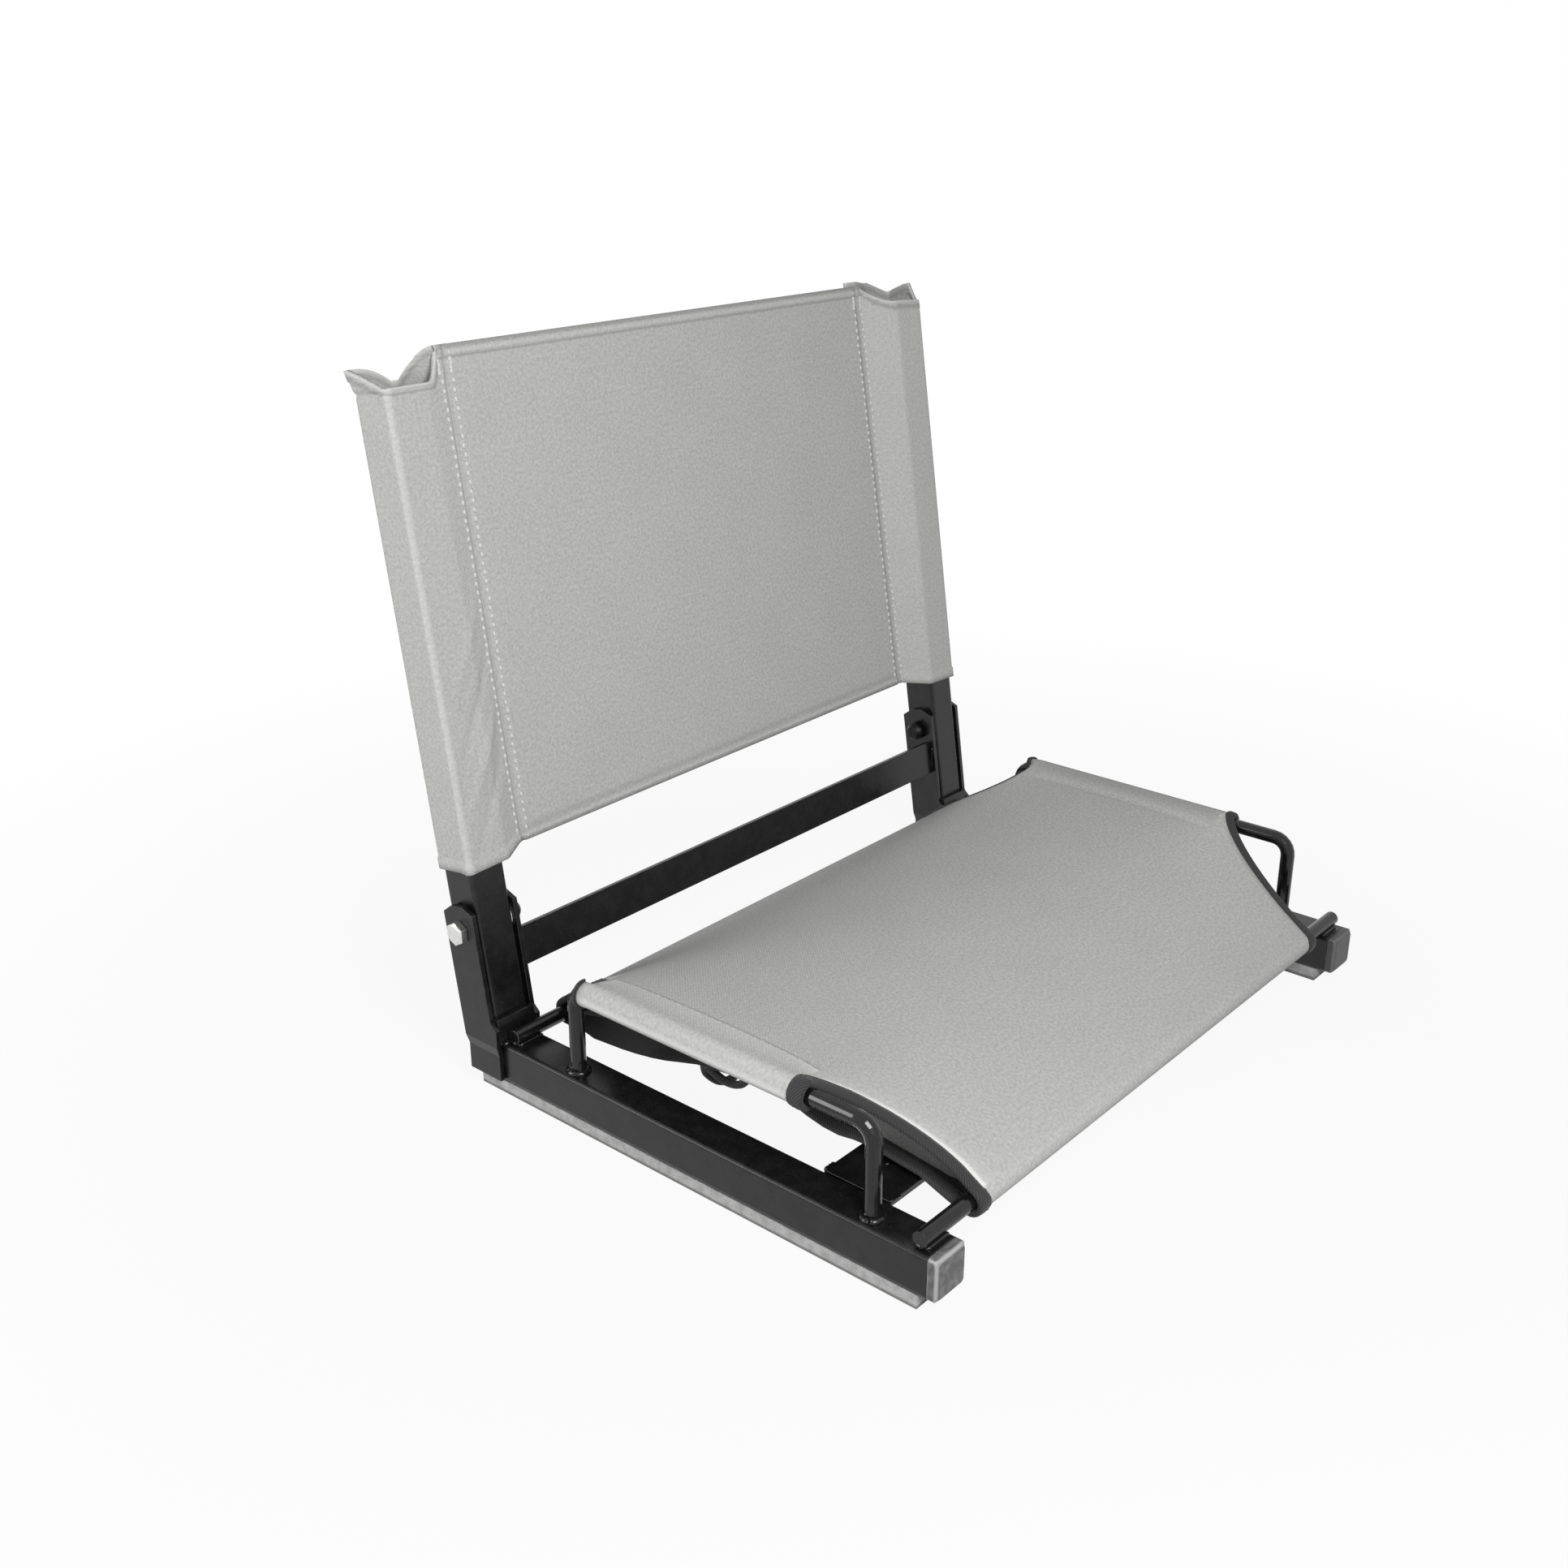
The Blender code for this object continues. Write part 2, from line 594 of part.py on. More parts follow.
# Seat sling
FRONT_FLAP = (FRONT_ROD_Y, 1.0, FLAP_LENGTH)
REAR_FLAP = (REAR_ROD_Y, -1.0, REAR_FLAP_LENGTH)
SHEET_SIDE_X = SEAT_ROD_X - WRAP * math.sin(SIDE_LEAVE)
SHEET_SIDE_Z = SEAT_ROD_Z + WRAP * math.cos(SIDE_LEAVE)
SHEET_EDGE_Z = ROD_Z + WRAP * math.cos(EDGE_LEAVE)
SHEET_FRONT = FRONT_ROD_Y - WRAP * math.sin(EDGE_LEAVE)
SHEET_REAR = REAR_ROD_Y + WRAP * math.sin(EDGE_LEAVE)
SHEET_HALF = SEAT_ROD_X - NOTCH_WIDTH - TAPE_WIDTH   # half width between the bound edges, at the rods
SLEEVE_REAR = SEAT_ROD_FRONT + SEAT_ROD_REACH - SEAT_ROD_BEND - FIT
FLAP_Z = RAIL_TOP + FIT + TAPE_THICK + FIT + CLOTH / 2 + 2 * FIT
EYELET_HALF = SHEET_HALF - FLAP_TAPER
EYELET_PITCH = 2 * (EYELET_HALF - EYELET_SIDE_MARGIN) / (EYELETS - 1)


def eyelet_x(index):
    """The place of an eyelet across the chair."""
    return (index - (EYELETS - 1) / 2) * EYELET_PITCH


def sheet_columns():
    """The shares of the half width at which the sheet's mesh is divided, so that eyelets fall on cells."""
    shares = [-1.0]
    for index in range(EYELETS):
        for edge in (-EYELET / 2, EYELET / 2):
            shares.append((eyelet_x(index) + edge) / EYELET_HALF)
    shares.append(1.0)
    return shares


def sheet_rows():
    """The y and half width of the sheet's rows, and the first and last rows that have sleeves."""
    front_end = SLEEVE_FRONT + TAPE_WIDTH
    rear_end = SLEEVE_REAR - TAPE_WIDTH
    rear_notch = REAR_ROD_Y - NOTCH_REAR
    width = SHEET_SIDE_X - SHEET_HALF
    front_rows = []
    rear_rows = []
    for step in range(ARC_STEPS + 1):
        turn = step / ARC_STEPS * math.pi / 2
        half = SHEET_SIDE_X - width * math.cos(turn)
        front_rows.append((NOTCH_FRONT + (front_end - NOTCH_FRONT) * math.sin(turn), half))
        rear_rows.append((rear_notch - (rear_notch - rear_end) * math.sin(turn), half))
    middle_rows = []
    for step in range(1, SLEEVE_ROWS):
        y = front_end + (rear_end - front_end) * step / SLEEVE_ROWS
        middle_rows.append((y, SHEET_SIDE_X))
    first = len(front_rows)
    rows = [(SHEET_FRONT, SHEET_HALF)] + front_rows + middle_rows + rear_rows[::-1]
    rows.append((SHEET_REAR, SHEET_HALF))
    return rows, first, first + SLEEVE_ROWS


def edge_heights(rows, first, last):
    """Heights along the sheet's sides: level at the sleeves, then falling ever faster to the cross rods."""
    heights = [SHEET_SIDE_Z] * len(rows)
    drop = SHEET_SIDE_Z - SHEET_EDGE_Z
    for order in (range(first, -1, -1), range(last, len(rows))):
        travel = [0.0]
        steps = list(order)
        for before, after in zip(steps, steps[1:]):
            run = math.hypot(rows[after][0] - rows[before][0], rows[after][1] - rows[before][1])
            travel.append(travel[-1] + run)
        first_slope = min(math.tan(SIDE_LEAVE) * travel[-1] / drop, 1.0)
        for index, way in zip(steps, travel):
            share = way / travel[-1]
            heights[index] = SHEET_SIDE_Z - drop * (first_slope * share + (1 - first_slope) * share ** 2)
    return heights


def stretch_sheet(rows, columns, heights):
    """The heights of a sheet pulled tight in its outline, as a balance of pulls at each mesh point."""
    height = np.full((len(rows), len(columns)), SHEET_EDGE_Z)
    height[:, 0] = heights
    height[:, -1] = heights
    free = [(row, col) for row in range(1, len(rows) - 1) for col in range(1, len(columns) - 1)]
    number = {place: index for index, place in enumerate(free)}
    pulls = np.zeros((len(free), len(free)))
    given = np.zeros(len(free))
    for (row, col), index in number.items():
        y, half = rows[row]
        tall = (rows[row + 1][0] - rows[row - 1][0]) / 2
        wide = half * (columns[col + 1] - columns[col - 1]) / 2
        neighbours = []
        for step in (-1, 1):
            across = half * abs(columns[col + step] - columns[col])
            along = abs(rows[row + step][0] - y)
            neighbours.append(((row, col + step), TENSION_RATIO * tall / across))
            neighbours.append(((row + step, col), wide / along))
        for place, pull in neighbours:
            pulls[index, index] += pull
            if place in number:
                pulls[index, number[place]] -= pull
            else:
                given[index] += pull * height[place]
    for place, value in zip(free, np.linalg.solve(pulls, given)):
        height[place] = value
    return height


def flap_half(way, length):
    """The half width of an under-flap between its bound edges."""
    return SHEET_HALF - FLAP_TAPER * way / length


def flap_profile(rod_y, inwards, length):
    """The rows of an under-flap, from the sheet's edge round the rod to the flap's end.

    A row is its y, its z, its half width and whether the eyelets lie between it and the row before.
    """
    level_turn = math.atan2(FLAP_Z - ROD_Z + WRAP, FLAP_RISE_RUN)
    turn_start = math.pi / 2 + EDGE_LEAVE
    turn_end = 1.5 * math.pi + level_turn
    profile = []
    for step in range(1, WRAP_STEPS + 1):
        turn = turn_start + (turn_end - turn_start) * step / WRAP_STEPS
        y = rod_y + inwards * WRAP * math.cos(turn)
        profile.append((y, ROD_Z + WRAP * math.sin(turn), SHEET_HALF, False))
    eyelet = length - EYELET_INSET
    eyelet_end = eyelet + EYELET / 2
    for way in (FLAP_RISE_RUN, eyelet - EYELET / 2, eyelet_end, length):
        profile.append((rod_y + inwards * way, FLAP_Z, flap_half(way, length), way == eyelet_end))
    return profile


def sleeve_points(side, y, slope_point):
    """The points of a side sleeve from the sheet's edge round the rod to the seam under the sheet."""
    points = []
    turn_end = math.pi + SLEEVE_TUCK
    for step in range(1, SLEEVE_STEPS + 1):
        turn = -SIDE_LEAVE + (turn_end + SIDE_LEAVE) * step / SLEEVE_STEPS
        x = SEAT_ROD_X + WRAP * math.sin(turn)
        points.append(Vector((side * x, y, SEAT_ROD_Z + WRAP * math.cos(turn))))
    seam_x = SEAT_ROD_X - SIDE_SEAM
    share = (SHEET_SIDE_X - seam_x) / (SHEET_SIDE_X - abs(slope_point.x))
    seam_z = SHEET_SIDE_Z + (slope_point.z - SHEET_SIDE_Z) * share - CLOTH - 2 * FIT
    points.append(Vector((side * seam_x, y, seam_z)))
    return points


def corner_paths(sheet, sleeves, flaps, first, last):
    """For each corner of the seat, the mesh points of its bound edge from the sleeve to the flap's end."""
    paths = {}
    for label, side in SIDES:
        column = 0 if side < 0 else -1
        front_rows = [sheet[row][column] for row in range(first, -1, -1)]
        rear_rows = [sheet[row][column] for row in range(last, len(sheet))]
        for end, row, edge in (("front", first, front_rows), ("rear", last, rear_rows)):
            wrapped = sleeves[side][row][SLEEVE_STEPS - 1::-1]
            flap = [points[column] for points in flaps[end]]
            paths[f"{label}_{end}"] = wrapped + edge + flap
    return paths


def add_bound_edge(bm, path):
    """Grows the sheet past a line of its edge points by the tape's width; returns the new points."""
    outwards = []
    outside = 0.0
    for index, vert in enumerate(path):
        before = path[max(index - 1, 0)]
        after = path[min(index + 1, len(path) - 1)]
        run = (after.co - vert.co).normalized() + (vert.co - before.co).normalized()
        away = run.cross(vert.normal)
        away = Vector((away.x, away.y, 0)).normalized()
        outwards.append(away)
        outside += sum(away.dot(vert.co - face.calc_center_median()) for face in vert.link_faces)
    if outside < 0:
        outwards = [-away for away in outwards]
    edge = [bm.verts.new(vert.co + away * TAPE_WIDTH) for vert, away in zip(path, outwards)]
    for index in range(len(path) - 1):
        bm.faces.new((path[index], path[index + 1], edge[index + 1]))
        bm.faces.new((path[index], edge[index + 1], edge[index]))
    return edge, outwards


def seat_sling(name, material):
    """The seat: a sheet hung between the side rods and the cross rods, with flaps laced underneath.

    Returns the object and, for each corner, the stations of its bound edge: the inner point, its normal,
    the edge point, its normal and the way outwards.
    """
    columns = sheet_columns()
    rows, first, last = sheet_rows()
    heights = stretch_sheet(rows, columns, edge_heights(rows, first, last))
    bm = bmesh.new()
    sheet = []
    for (y, half), row_heights in zip(rows, heights):
        sheet.append([bm.verts.new((share * half, y, z)) for share, z in zip(columns, row_heights)])
    for low, high in zip(sheet, sheet[1:]):
        for col in range(len(columns) - 1):
            bm.faces.new((low[col], low[col + 1], high[col + 1], high[col]))
    sleeves = {}
    for label, side in SIDES:
        column, inside = (0, 2) if side < 0 else (-1, -3)
        strips = {}
        for row in range(first, last + 1):
            points = sleeve_points(side, rows[row][0], sheet[row][inside].co)
            strips[row] = [bm.verts.new(point) for point in points]
        for row in range(first, last):
            near = [sheet[row][column]] + strips[row]
            far = [sheet[row + 1][column]] + strips[row + 1]
            for index in range(len(near) - 1):
                bm.faces.new((near[index], near[index + 1], far[index + 1], far[index]))
        sleeves[side] = strips
    flaps = {}
    for end, flap, start in (("front", FRONT_FLAP, sheet[0]), ("rear", REAR_FLAP, sheet[-1])):
        previous = start
        flaps[end] = []
        for y, z, half, has_eyelets in flap_profile(*flap):
            points = [bm.verts.new((share * half, y, z)) for share in columns]
            for col in range(len(columns) - 1):
                if has_eyelets and col % 2 == 1:
                    continue
                bm.faces.new((previous[col], previous[col + 1], points[col + 1], points[col]))
            flaps[end].append(points)
            previous = points
    bmesh.ops.recalc_face_normals(bm, faces=bm.faces[:])
    bm.normal_update()
    paths = corner_paths(sheet, sleeves, flaps, first, last)
    edges = {corner: add_bound_edge(bm, path) for corner, path in paths.items()}
    bmesh.ops.recalc_face_normals(bm, faces=bm.faces[:])
    bm.normal_update()
    stations = {}
    for corner, path in paths.items():
        stations[corner] = []
        for vert, edge, away in zip(path, *edges[corner]):
            inner = (vert.co.copy(), vert.normal.copy())
            stations[corner].append((*inner, edge.co.copy(), edge.normal.copy(), away))
    obj = add_object(name, bm, material)
    skin = obj.modifiers.new("cloth", "SOLIDIFY")
    skin.thickness = CLOTH
    skin.offset = 0
    skin.use_even_offset = True
    return obj, stations


def corner_binding(name, stations, material):
    """Tape folded over a bound edge of the seat, from its sleeve to the end of its flap."""
    near = CLOTH / 2 + FIT
    far = near + TAPE_THICK
    bm = bmesh.new()
    loops = []
    for inner, inner_normal, edge, edge_normal, away in stations:
        fold = edge + away * FIT
        crease = edge + away * (FIT + TAPE_THICK)
        points = (
            inner + inner_normal * near,
            fold + edge_normal * near,
            fold - edge_normal * near,
            inner - inner_normal * near,
            inner - inner_normal * far,
            crease - edge_normal * far,
            crease + edge_normal * far,
            inner + inner_normal * far,
        )
        loops.append([bm.verts.new(point) for point in points])
    inner_points = (0, 3, 4, 7)
    for low, high in zip(loops, loops[1:]):
        for index in range(len(low)):
            following = (index + 1) % len(low)
            corner, other = (index, following) if index in inner_points else (following, index)
            bm.faces.new((low[corner], low[other], high[other]))
            bm.faces.new((low[corner], high[other], high[corner]))
    for loop in (loops[0], loops[-1]):
        for quad in ((0, 1, 6, 7), (1, 2, 5, 6), (2, 3, 4, 5)):
            bm.faces.new([loop[index] for index in quad])
    return add_object(name, bm, material)


# Lacing
def lacing_tail(x, y):
    """The free end of the lacing, a loop that hangs under the rear flap beside its first eyelet."""
    shares = (
        (0.75, 0.4, 1.05),
        (0.9, 0.62, 1.1),
        (1.0, 0.84, 0.8),
        (1.0, 1.0, 0.4),
        (0.6, 0.86, 0.4),
        (0.35, 0.6, 0.75),
        (0.2, 0.3, 0.85),
        (0.05, 0.05, 0.5),
    )
    tail = []
    for out, reach, drop in shares:
        place = (x - out * LACE_TAIL_OUT, y + reach * LACE_TAIL_REACH, FLAP_Z - drop * LACE_TAIL_DROP)
        tail.append(Vector(place))
    return tail


def lacing_route():
    """Points that the lacing passes through: up a rear eyelet, over, down a front one and back under."""
    front_eyelet = FRONT_ROD_Y + FLAP_LENGTH - EYELET_INSET
    rear_eyelet = REAR_ROD_Y - REAR_FLAP_LENGTH + EYELET_INSET
    over = FLAP_Z + CLOTH / 2 + FIT + LACE / 2
    under = FLAP_Z - LACE_SAG
    front_pull = front_eyelet + LACE_PULL
    rear_pull = rear_eyelet - LACE_PULL
    route = lacing_tail(eyelet_x(0), rear_eyelet)
    for index in range(EYELETS):
        x = eyelet_x(index)
        route.extend((
            Vector((x, rear_eyelet, FLAP_Z)),
            Vector((x, rear_pull, over)),
            Vector((x, front_pull, over)),
            Vector((x, front_eyelet, FLAP_Z)),
            Vector((x, front_pull, under + LACE_EASE)),
            Vector((x + EYELET_PITCH / 2, (front_eyelet + rear_eyelet) / 2, under)),
            Vector((x + EYELET_PITCH, rear_pull, under + LACE_EASE)),
        ))
    return route[:-2]


def smooth_line(route, steps):
    """A smooth line through the points of a route."""
    line = []
    last = len(route) - 1
    for index in range(last):
        before = route[max(index - 1, 0)]
        start, end = route[index], route[index + 1]
        after = route[min(index + 2, last)]
        for step in range(steps):
            t = step / steps
            bend = (before * -1 + start * 3 - end * 3 + after) * t ** 3
            bend += (before * 2 - start * 5 + end * 4 - after) * t ** 2
            line.append(start + ((end - before) * t + bend) / 2)
    line.append(route[last])
    return line


def least_gap(line, thickness):
    """The least gap between turns of a cord that are well apart along it."""
    points = np.array(line)
    travel = np.concatenate(([0.0], np.cumsum(np.linalg.norm(np.diff(points, axis=0), axis=1))))
    distance = np.linalg.norm(points[:, None] - points[None, :], axis=2)
    apart = np.abs(travel[:, None] - travel[None, :]) > LACE_TURN_APART * thickness
    return distance[apart].min() - thickness


def lacing_cord(name, material):
    """The cord that laces the two under-flaps together."""
    line = smooth_line(lacing_route(), LACE_STEPS)
    curve = bpy.data.curves.new(name, "CURVE")
    curve.dimensions = "3D"
    curve.bevel_depth = LACE / 2
    curve.bevel_resolution = 1
    curve.use_fill_caps = True
    spline = curve.splines.new("POLY")
    spline.points.add(len(line) - 1)
    for place, point in zip(spline.points, line):
        place.co = (*point, 1.0)
    curve.materials.append(material)
    obj = bpy.data.objects.new(name, curve)
    bpy.context.scene.collection.objects.link(obj)
    print(f"lacing: least gap to itself {least_gap(line, LACE) / MM:.2f} mm")
    return obj


# Assembly
def reach_along_y():
    """The least and the greatest y of everything that is part of the chair."""
    bpy.context.view_layer.update()
    graph = bpy.context.evaluated_depsgraph_get()
    places = []
    for obj in bpy.data.objects:
        if obj.type in {"MESH", "CURVE"} and not obj.hide_render:
            shape = obj.evaluated_get(graph)
            mesh = shape.to_mesh()
            places.extend((shape.matrix_world @ vert.co).y for vert in mesh.vertices)
            shape.to_mesh_clear()
    return min(places), max(places)


def build():
    for obj in list(bpy.data.objects):
        bpy.data.objects.remove(obj, do_unlink=True)
    coat = paint("black powder coat", "2a2a2b", 0.45, 0.0)
    canvas = paint("grey canvas", "aeaeac", 0.9, 0.0)
    tape = paint("dark binding tape", "4a4a4a", 0.85, 0.0)
    rubber = paint("grey rubber", "969694", 0.8, 0.0)
    plastic = paint("grey cap plastic", "5e5e5e", 0.5, 0.0)
    zinc = paint("zinc plate", "d4d4d2", 0.3, 1.0)
    black_zinc = paint("black nut finish", "1e1e1e", 0.4, 1.0)
    nylon = paint("white nylon", "dcdcd6", 0.6, 0.0)
    cord = paint("black cord", "1b1b1b", 0.9, 0.0)

    pivot = bpy.data.objects.new("back_pivot", None)
    pivot.location = (0, PIVOT_Y, PIVOT_Z)
    pivot.rotation_euler = (-RECLINE, 0, 0)
    bpy.context.scene.collection.objects.link(pivot)

    forwards = (math.pi / 2, 0, 0)
    upwards = (0, 0, 0)
    rail_z = RAIL_BASE + TUBE / 2
    tail = math.sqrt((PIVOT_RISE - SWING_CLEAR) ** 2 - (TUBE / 2) ** 2)
    for label, side in SIDES:
        x = side * RAIL_X
        tube(f"{label}_rail", RAIL_LENGTH, coat, None, (x, RAIL_REAR, rail_z), forwards)
        tube_cap(f"{label}_rail_front_cap", CAP_FLANGE, plastic, None, (x, RAIL_FRONT, rail_z), forwards)
        rubber_strip(f"{label}_rubber_strip", x, rubber)
        seat_rod(f"{label}_seat_rod", side * SEAT_ROD_X, coat)
        stop_plate(f"{label}_stop_plate", x, coat)
        foot = (x, 0, -tail)
        top = (x, 0, UPRIGHT_ABOVE_PIVOT)
        upright = tube(f"{label}_upright", tail + UPRIGHT_ABOVE_PIVOT, coat, pivot, foot, upwards)
        tube_cap(f"{label}_upright_top_plug", TOP_FLANGE, plastic, pivot, top, upwards)
        drilled = [upright]
        for place, sign in (("outer", 1), ("inner", -1)):
            drilled.append(ear(f"{label}_{place}_ear", x, side * sign, coat))
            pivot_washer(f"{label}_{place}_washer", side, sign, nylon)
        drill = pivot_drill(f"{label}_pivot_drill", side)
        for obj in drilled:
            cut(obj, drill)
        pivot_bolt(f"{label}_pivot_bolt", side, zinc)
        pivot_nut(f"{label}_pivot_nut", side, black_zinc)
    crossbar("rear_crossbar", coat)
    cross_plate("front_cross_plate", coat)
    cross_rod("front_rod", FRONT_ROD_Y, coat)
    cross_rod("rear_rod", REAR_ROD_Y, coat)
    back_sling("back_sling", canvas, pivot)
    seat, stations = seat_sling("seat_sling", canvas)
    for corner, edge in stations.items():
        corner_binding(f"{corner}_binding", edge, tape)
    lacing_cord("lacing_cord", cord)

    front, rear = reach_along_y()
    for obj in bpy.data.objects:
        if obj.parent is None:
            obj.location.y -= (front + rear) / 2
    bpy.context.view_layer.update()
    print(f"pivot at y {pivot.location.y / MM:.3f} mm, z {pivot.location.z / MM:.3f} mm")
    print(f"front faces of the caps at y {-(front + rear) / 2 / MM:.3f} mm")


build()
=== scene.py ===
# %% [markdown]
# # A folding stadium chair, dressed
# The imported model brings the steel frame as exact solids. This lesson gives the steel, plastic and rubber
# their finishes, and sews the soft pieces anew: a slung seat, a slung back, bound edges and a lacing.
# Everything is in metres. The chair faces -Y, +Z is up, and the left side is -X.

# %% Load the frame
import json
import math

import bmesh
import bpy
import numpy as np
from mathutils import Matrix, Vector

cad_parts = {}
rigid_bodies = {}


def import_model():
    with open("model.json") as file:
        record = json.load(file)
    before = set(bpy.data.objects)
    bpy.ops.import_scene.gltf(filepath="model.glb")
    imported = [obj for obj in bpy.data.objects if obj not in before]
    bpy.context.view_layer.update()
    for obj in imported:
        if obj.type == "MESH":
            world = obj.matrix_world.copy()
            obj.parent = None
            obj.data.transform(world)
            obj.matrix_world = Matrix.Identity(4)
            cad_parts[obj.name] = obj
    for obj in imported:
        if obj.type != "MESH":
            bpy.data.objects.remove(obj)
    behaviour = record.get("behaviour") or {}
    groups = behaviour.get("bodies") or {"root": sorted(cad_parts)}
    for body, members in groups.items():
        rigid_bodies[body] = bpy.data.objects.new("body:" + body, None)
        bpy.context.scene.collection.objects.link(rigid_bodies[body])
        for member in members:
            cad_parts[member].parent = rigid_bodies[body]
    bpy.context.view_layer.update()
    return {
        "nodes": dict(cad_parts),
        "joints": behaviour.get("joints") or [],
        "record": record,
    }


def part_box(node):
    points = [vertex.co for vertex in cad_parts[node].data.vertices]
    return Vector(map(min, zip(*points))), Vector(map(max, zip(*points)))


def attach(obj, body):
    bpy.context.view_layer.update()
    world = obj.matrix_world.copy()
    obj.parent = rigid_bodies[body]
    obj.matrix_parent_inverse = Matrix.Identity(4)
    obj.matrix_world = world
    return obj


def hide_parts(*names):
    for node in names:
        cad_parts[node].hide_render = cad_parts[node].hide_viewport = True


for leftover in list(bpy.data.objects):
    bpy.data.objects.remove(leftover, do_unlink=True)
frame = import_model()
nodes = frame["nodes"]
MM = 0.001
SIDES = (("left", -1.0), ("right", 1.0))

# %% [markdown]
# ## The lines that the cloth follows
# Cloth has no shape of its own: it takes the shape of what holds it. So the rods, the rails and the pivot
# are measured on the loaded solids first. Only the uprights' lean and length, and the sizes of the cutting
# and sewing, are written out.

# %% Measure the frame
FIT = 0.3 * MM                  # gap between pieces that lie against each other
CLOTH = 1.4 * MM                # thickness of the canvas
low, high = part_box("left_rail_front_cap")
FRONT = low.y
low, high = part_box("front_rod")
ROD = high.z - low.z
ROD_Z = (low.z + high.z) / 2
FRONT_ROD_Y = (low.y + high.y) / 2
CROSS_ROD_END = high.x
low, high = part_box("rear_rod")
REAR_ROD_Y = (low.y + high.y) / 2
low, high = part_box("right_seat_rod")
SEAT_ROD_X = (low.x + high.x) / 2
SEAT_ROD_Z = high.z - ROD / 2
FRONT_POST_Y = low.y + ROD / 2
REAR_POST_Y = high.y - ROD / 2
RAIL_TOP = low.z - FIT
low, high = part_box("right_rail")
RAIL_X = (low.x + high.x) / 2
TUBE = high.x - low.x
PIVOT = Vector(frame["joints"][0]["pos_m"])
RECLINE = math.radians(8.66)    # how far the uprights lean back
UPRIGHT_TOP = 308.0 * MM        # upper end of the uprights, along them from the pivot
print(f"cross rods {(REAR_ROD_Y - FRONT_ROD_Y) / MM:.1f} mm apart, uprights {2 * RAIL_X / MM:.1f} mm apart")

# %% [markdown]
# ## Camera
# The photograph was taken from the chair's front left, a little above it. A camera fitted to the frame's
# edges gave this place, direction and lens. Its axes are written out, so that the view has no roll.

# %% Make the camera
VIEW_AZIMUTH = math.radians(-49.35)
VIEW_ELEVATION = math.radians(22.1)
VIEW_PLACE = Vector((-0.8283, -0.61181, 0.5777))
LENS = 40.37                    # in millimetres, for a sensor of this width
SENSOR_WIDTH = 36.0
NEAREST_SEEN = 0.01
view_back = Vector((
    math.sin(VIEW_AZIMUTH) * math.cos(VIEW_ELEVATION),
    -math.cos(VIEW_AZIMUTH) * math.cos(VIEW_ELEVATION),
    math.sin(VIEW_ELEVATION),
))
view_right = Vector((math.cos(VIEW_AZIMUTH), math.sin(VIEW_AZIMUTH), 0))
view_up = view_back.cross(view_right)
camera = bpy.data.objects.new("camera", bpy.data.cameras.new("camera"))
camera.data.lens = LENS
camera.data.sensor_width = SENSOR_WIDTH
camera.data.clip_start = NEAREST_SEEN
view_axes = Matrix((view_right, view_up, view_back)).transposed()
camera.matrix_world = Matrix.Translation(VIEW_PLACE) @ view_axes.to_4x4()
bpy.context.scene.collection.objects.link(camera)
bpy.context.scene.camera = camera
bpy.context.scene.view_settings.view_transform = "Standard"
print(f"camera {VIEW_PLACE.length:.2f} m from the chair's foot")

# %% [markdown]
# ## Small helpers for materials
# Colours are picked on a screen, in sRGB, and a shader counts in linear light, so one function turns a hex
# value into the other. One adds a shader node with its settings, and links the sockets that it is given. One
# makes a material with what is the same all over it, and one links what varies over it to its shader.

# %% Colour, node and material helpers
def linear(hex_colour):
    """The linear colour of an sRGB hex value."""
    channels = []
    for start in (0, 2, 4):
        value = int(hex_colour[start:start + 2], 16) / 255
        channels.append(value / 12.92 if value <= 0.04045 else ((value + 0.055) / 1.055) ** 2.4)
    return (*channels, 1.0)


def node(tree, kind, inputs=None, **settings):
    """Adds a shader node of a kind; an input is a value to set or a socket to link."""
    made = tree.nodes.new(f"ShaderNode{kind}")
    for name, value in settings.items():
        setattr(made, name, value)
    for socket, value in (inputs or {}).items():
        if isinstance(value, bpy.types.NodeSocket):
            tree.links.new(value, made.inputs[socket])
        else:
            made.inputs[socket].default_value = value
    return made


def new_finish(name, **sockets):
    """A material with its Principled shader; the sockets hold what is the same all over the surface."""
    finish = bpy.data.materials.new(name)
    finish.use_nodes = True
    tree = finish.node_tree
    shader = tree.nodes["Principled BSDF"]
    for socket, value in sockets.items():
        shader.inputs[socket.replace("_", " ")].default_value = value
    return finish, tree, shader


def vary(tree, shader, sockets):
    """Links what varies over a surface to the shader."""
    for name, source in sockets.items():
        tree.links.new(source, shader.inputs[name])


# %% [markdown]
# ## Floor and light
# The photograph is a cut-out on white. Its tones say where the light was: a soft lamp above the camera, near
# enough for the far side to be darker, and a weaker one at the left that catches the outer faces. A pale
# world fills the rest. The floor is grey paint, because little light came up from below. To the camera it
# also glows white, more so further out, so that the chair keeps a faint shadow on a white ground and no more
# light falls on the chair itself.

# %% Build the stage
WORLD_LEVEL = 0.24              # the world's strength as a light; the camera sees it at 1
NEAR_GLOW = 0.92                # the floor's glow at the chair; further out it is 1
GLOW_GROWS_FROM = 0.35          # metres from the chair's middle
GLOW_GROWS_TO = 0.9
GROUND_RADIUS = 14.0
GROUND_SIDES = 48
LAMPS_LOOK_AT = Vector((0, 0, 0.2))


def seen_share(tree):
    """A socket that is 1 for what the camera sees, also mirrored or through glass, and 0 for lighting."""
    rays = node(tree, "LightPath").outputs
    seen = node(tree, "Math", {0: rays["Is Camera Ray"], 1: rays["Is Glossy Ray"]}, operation="MAXIMUM")
    seen = node(tree, "Math", {0: seen.outputs[0], 1: rays["Is Transmission Ray"]}, operation="MAXIMUM")
    return seen.outputs[0]


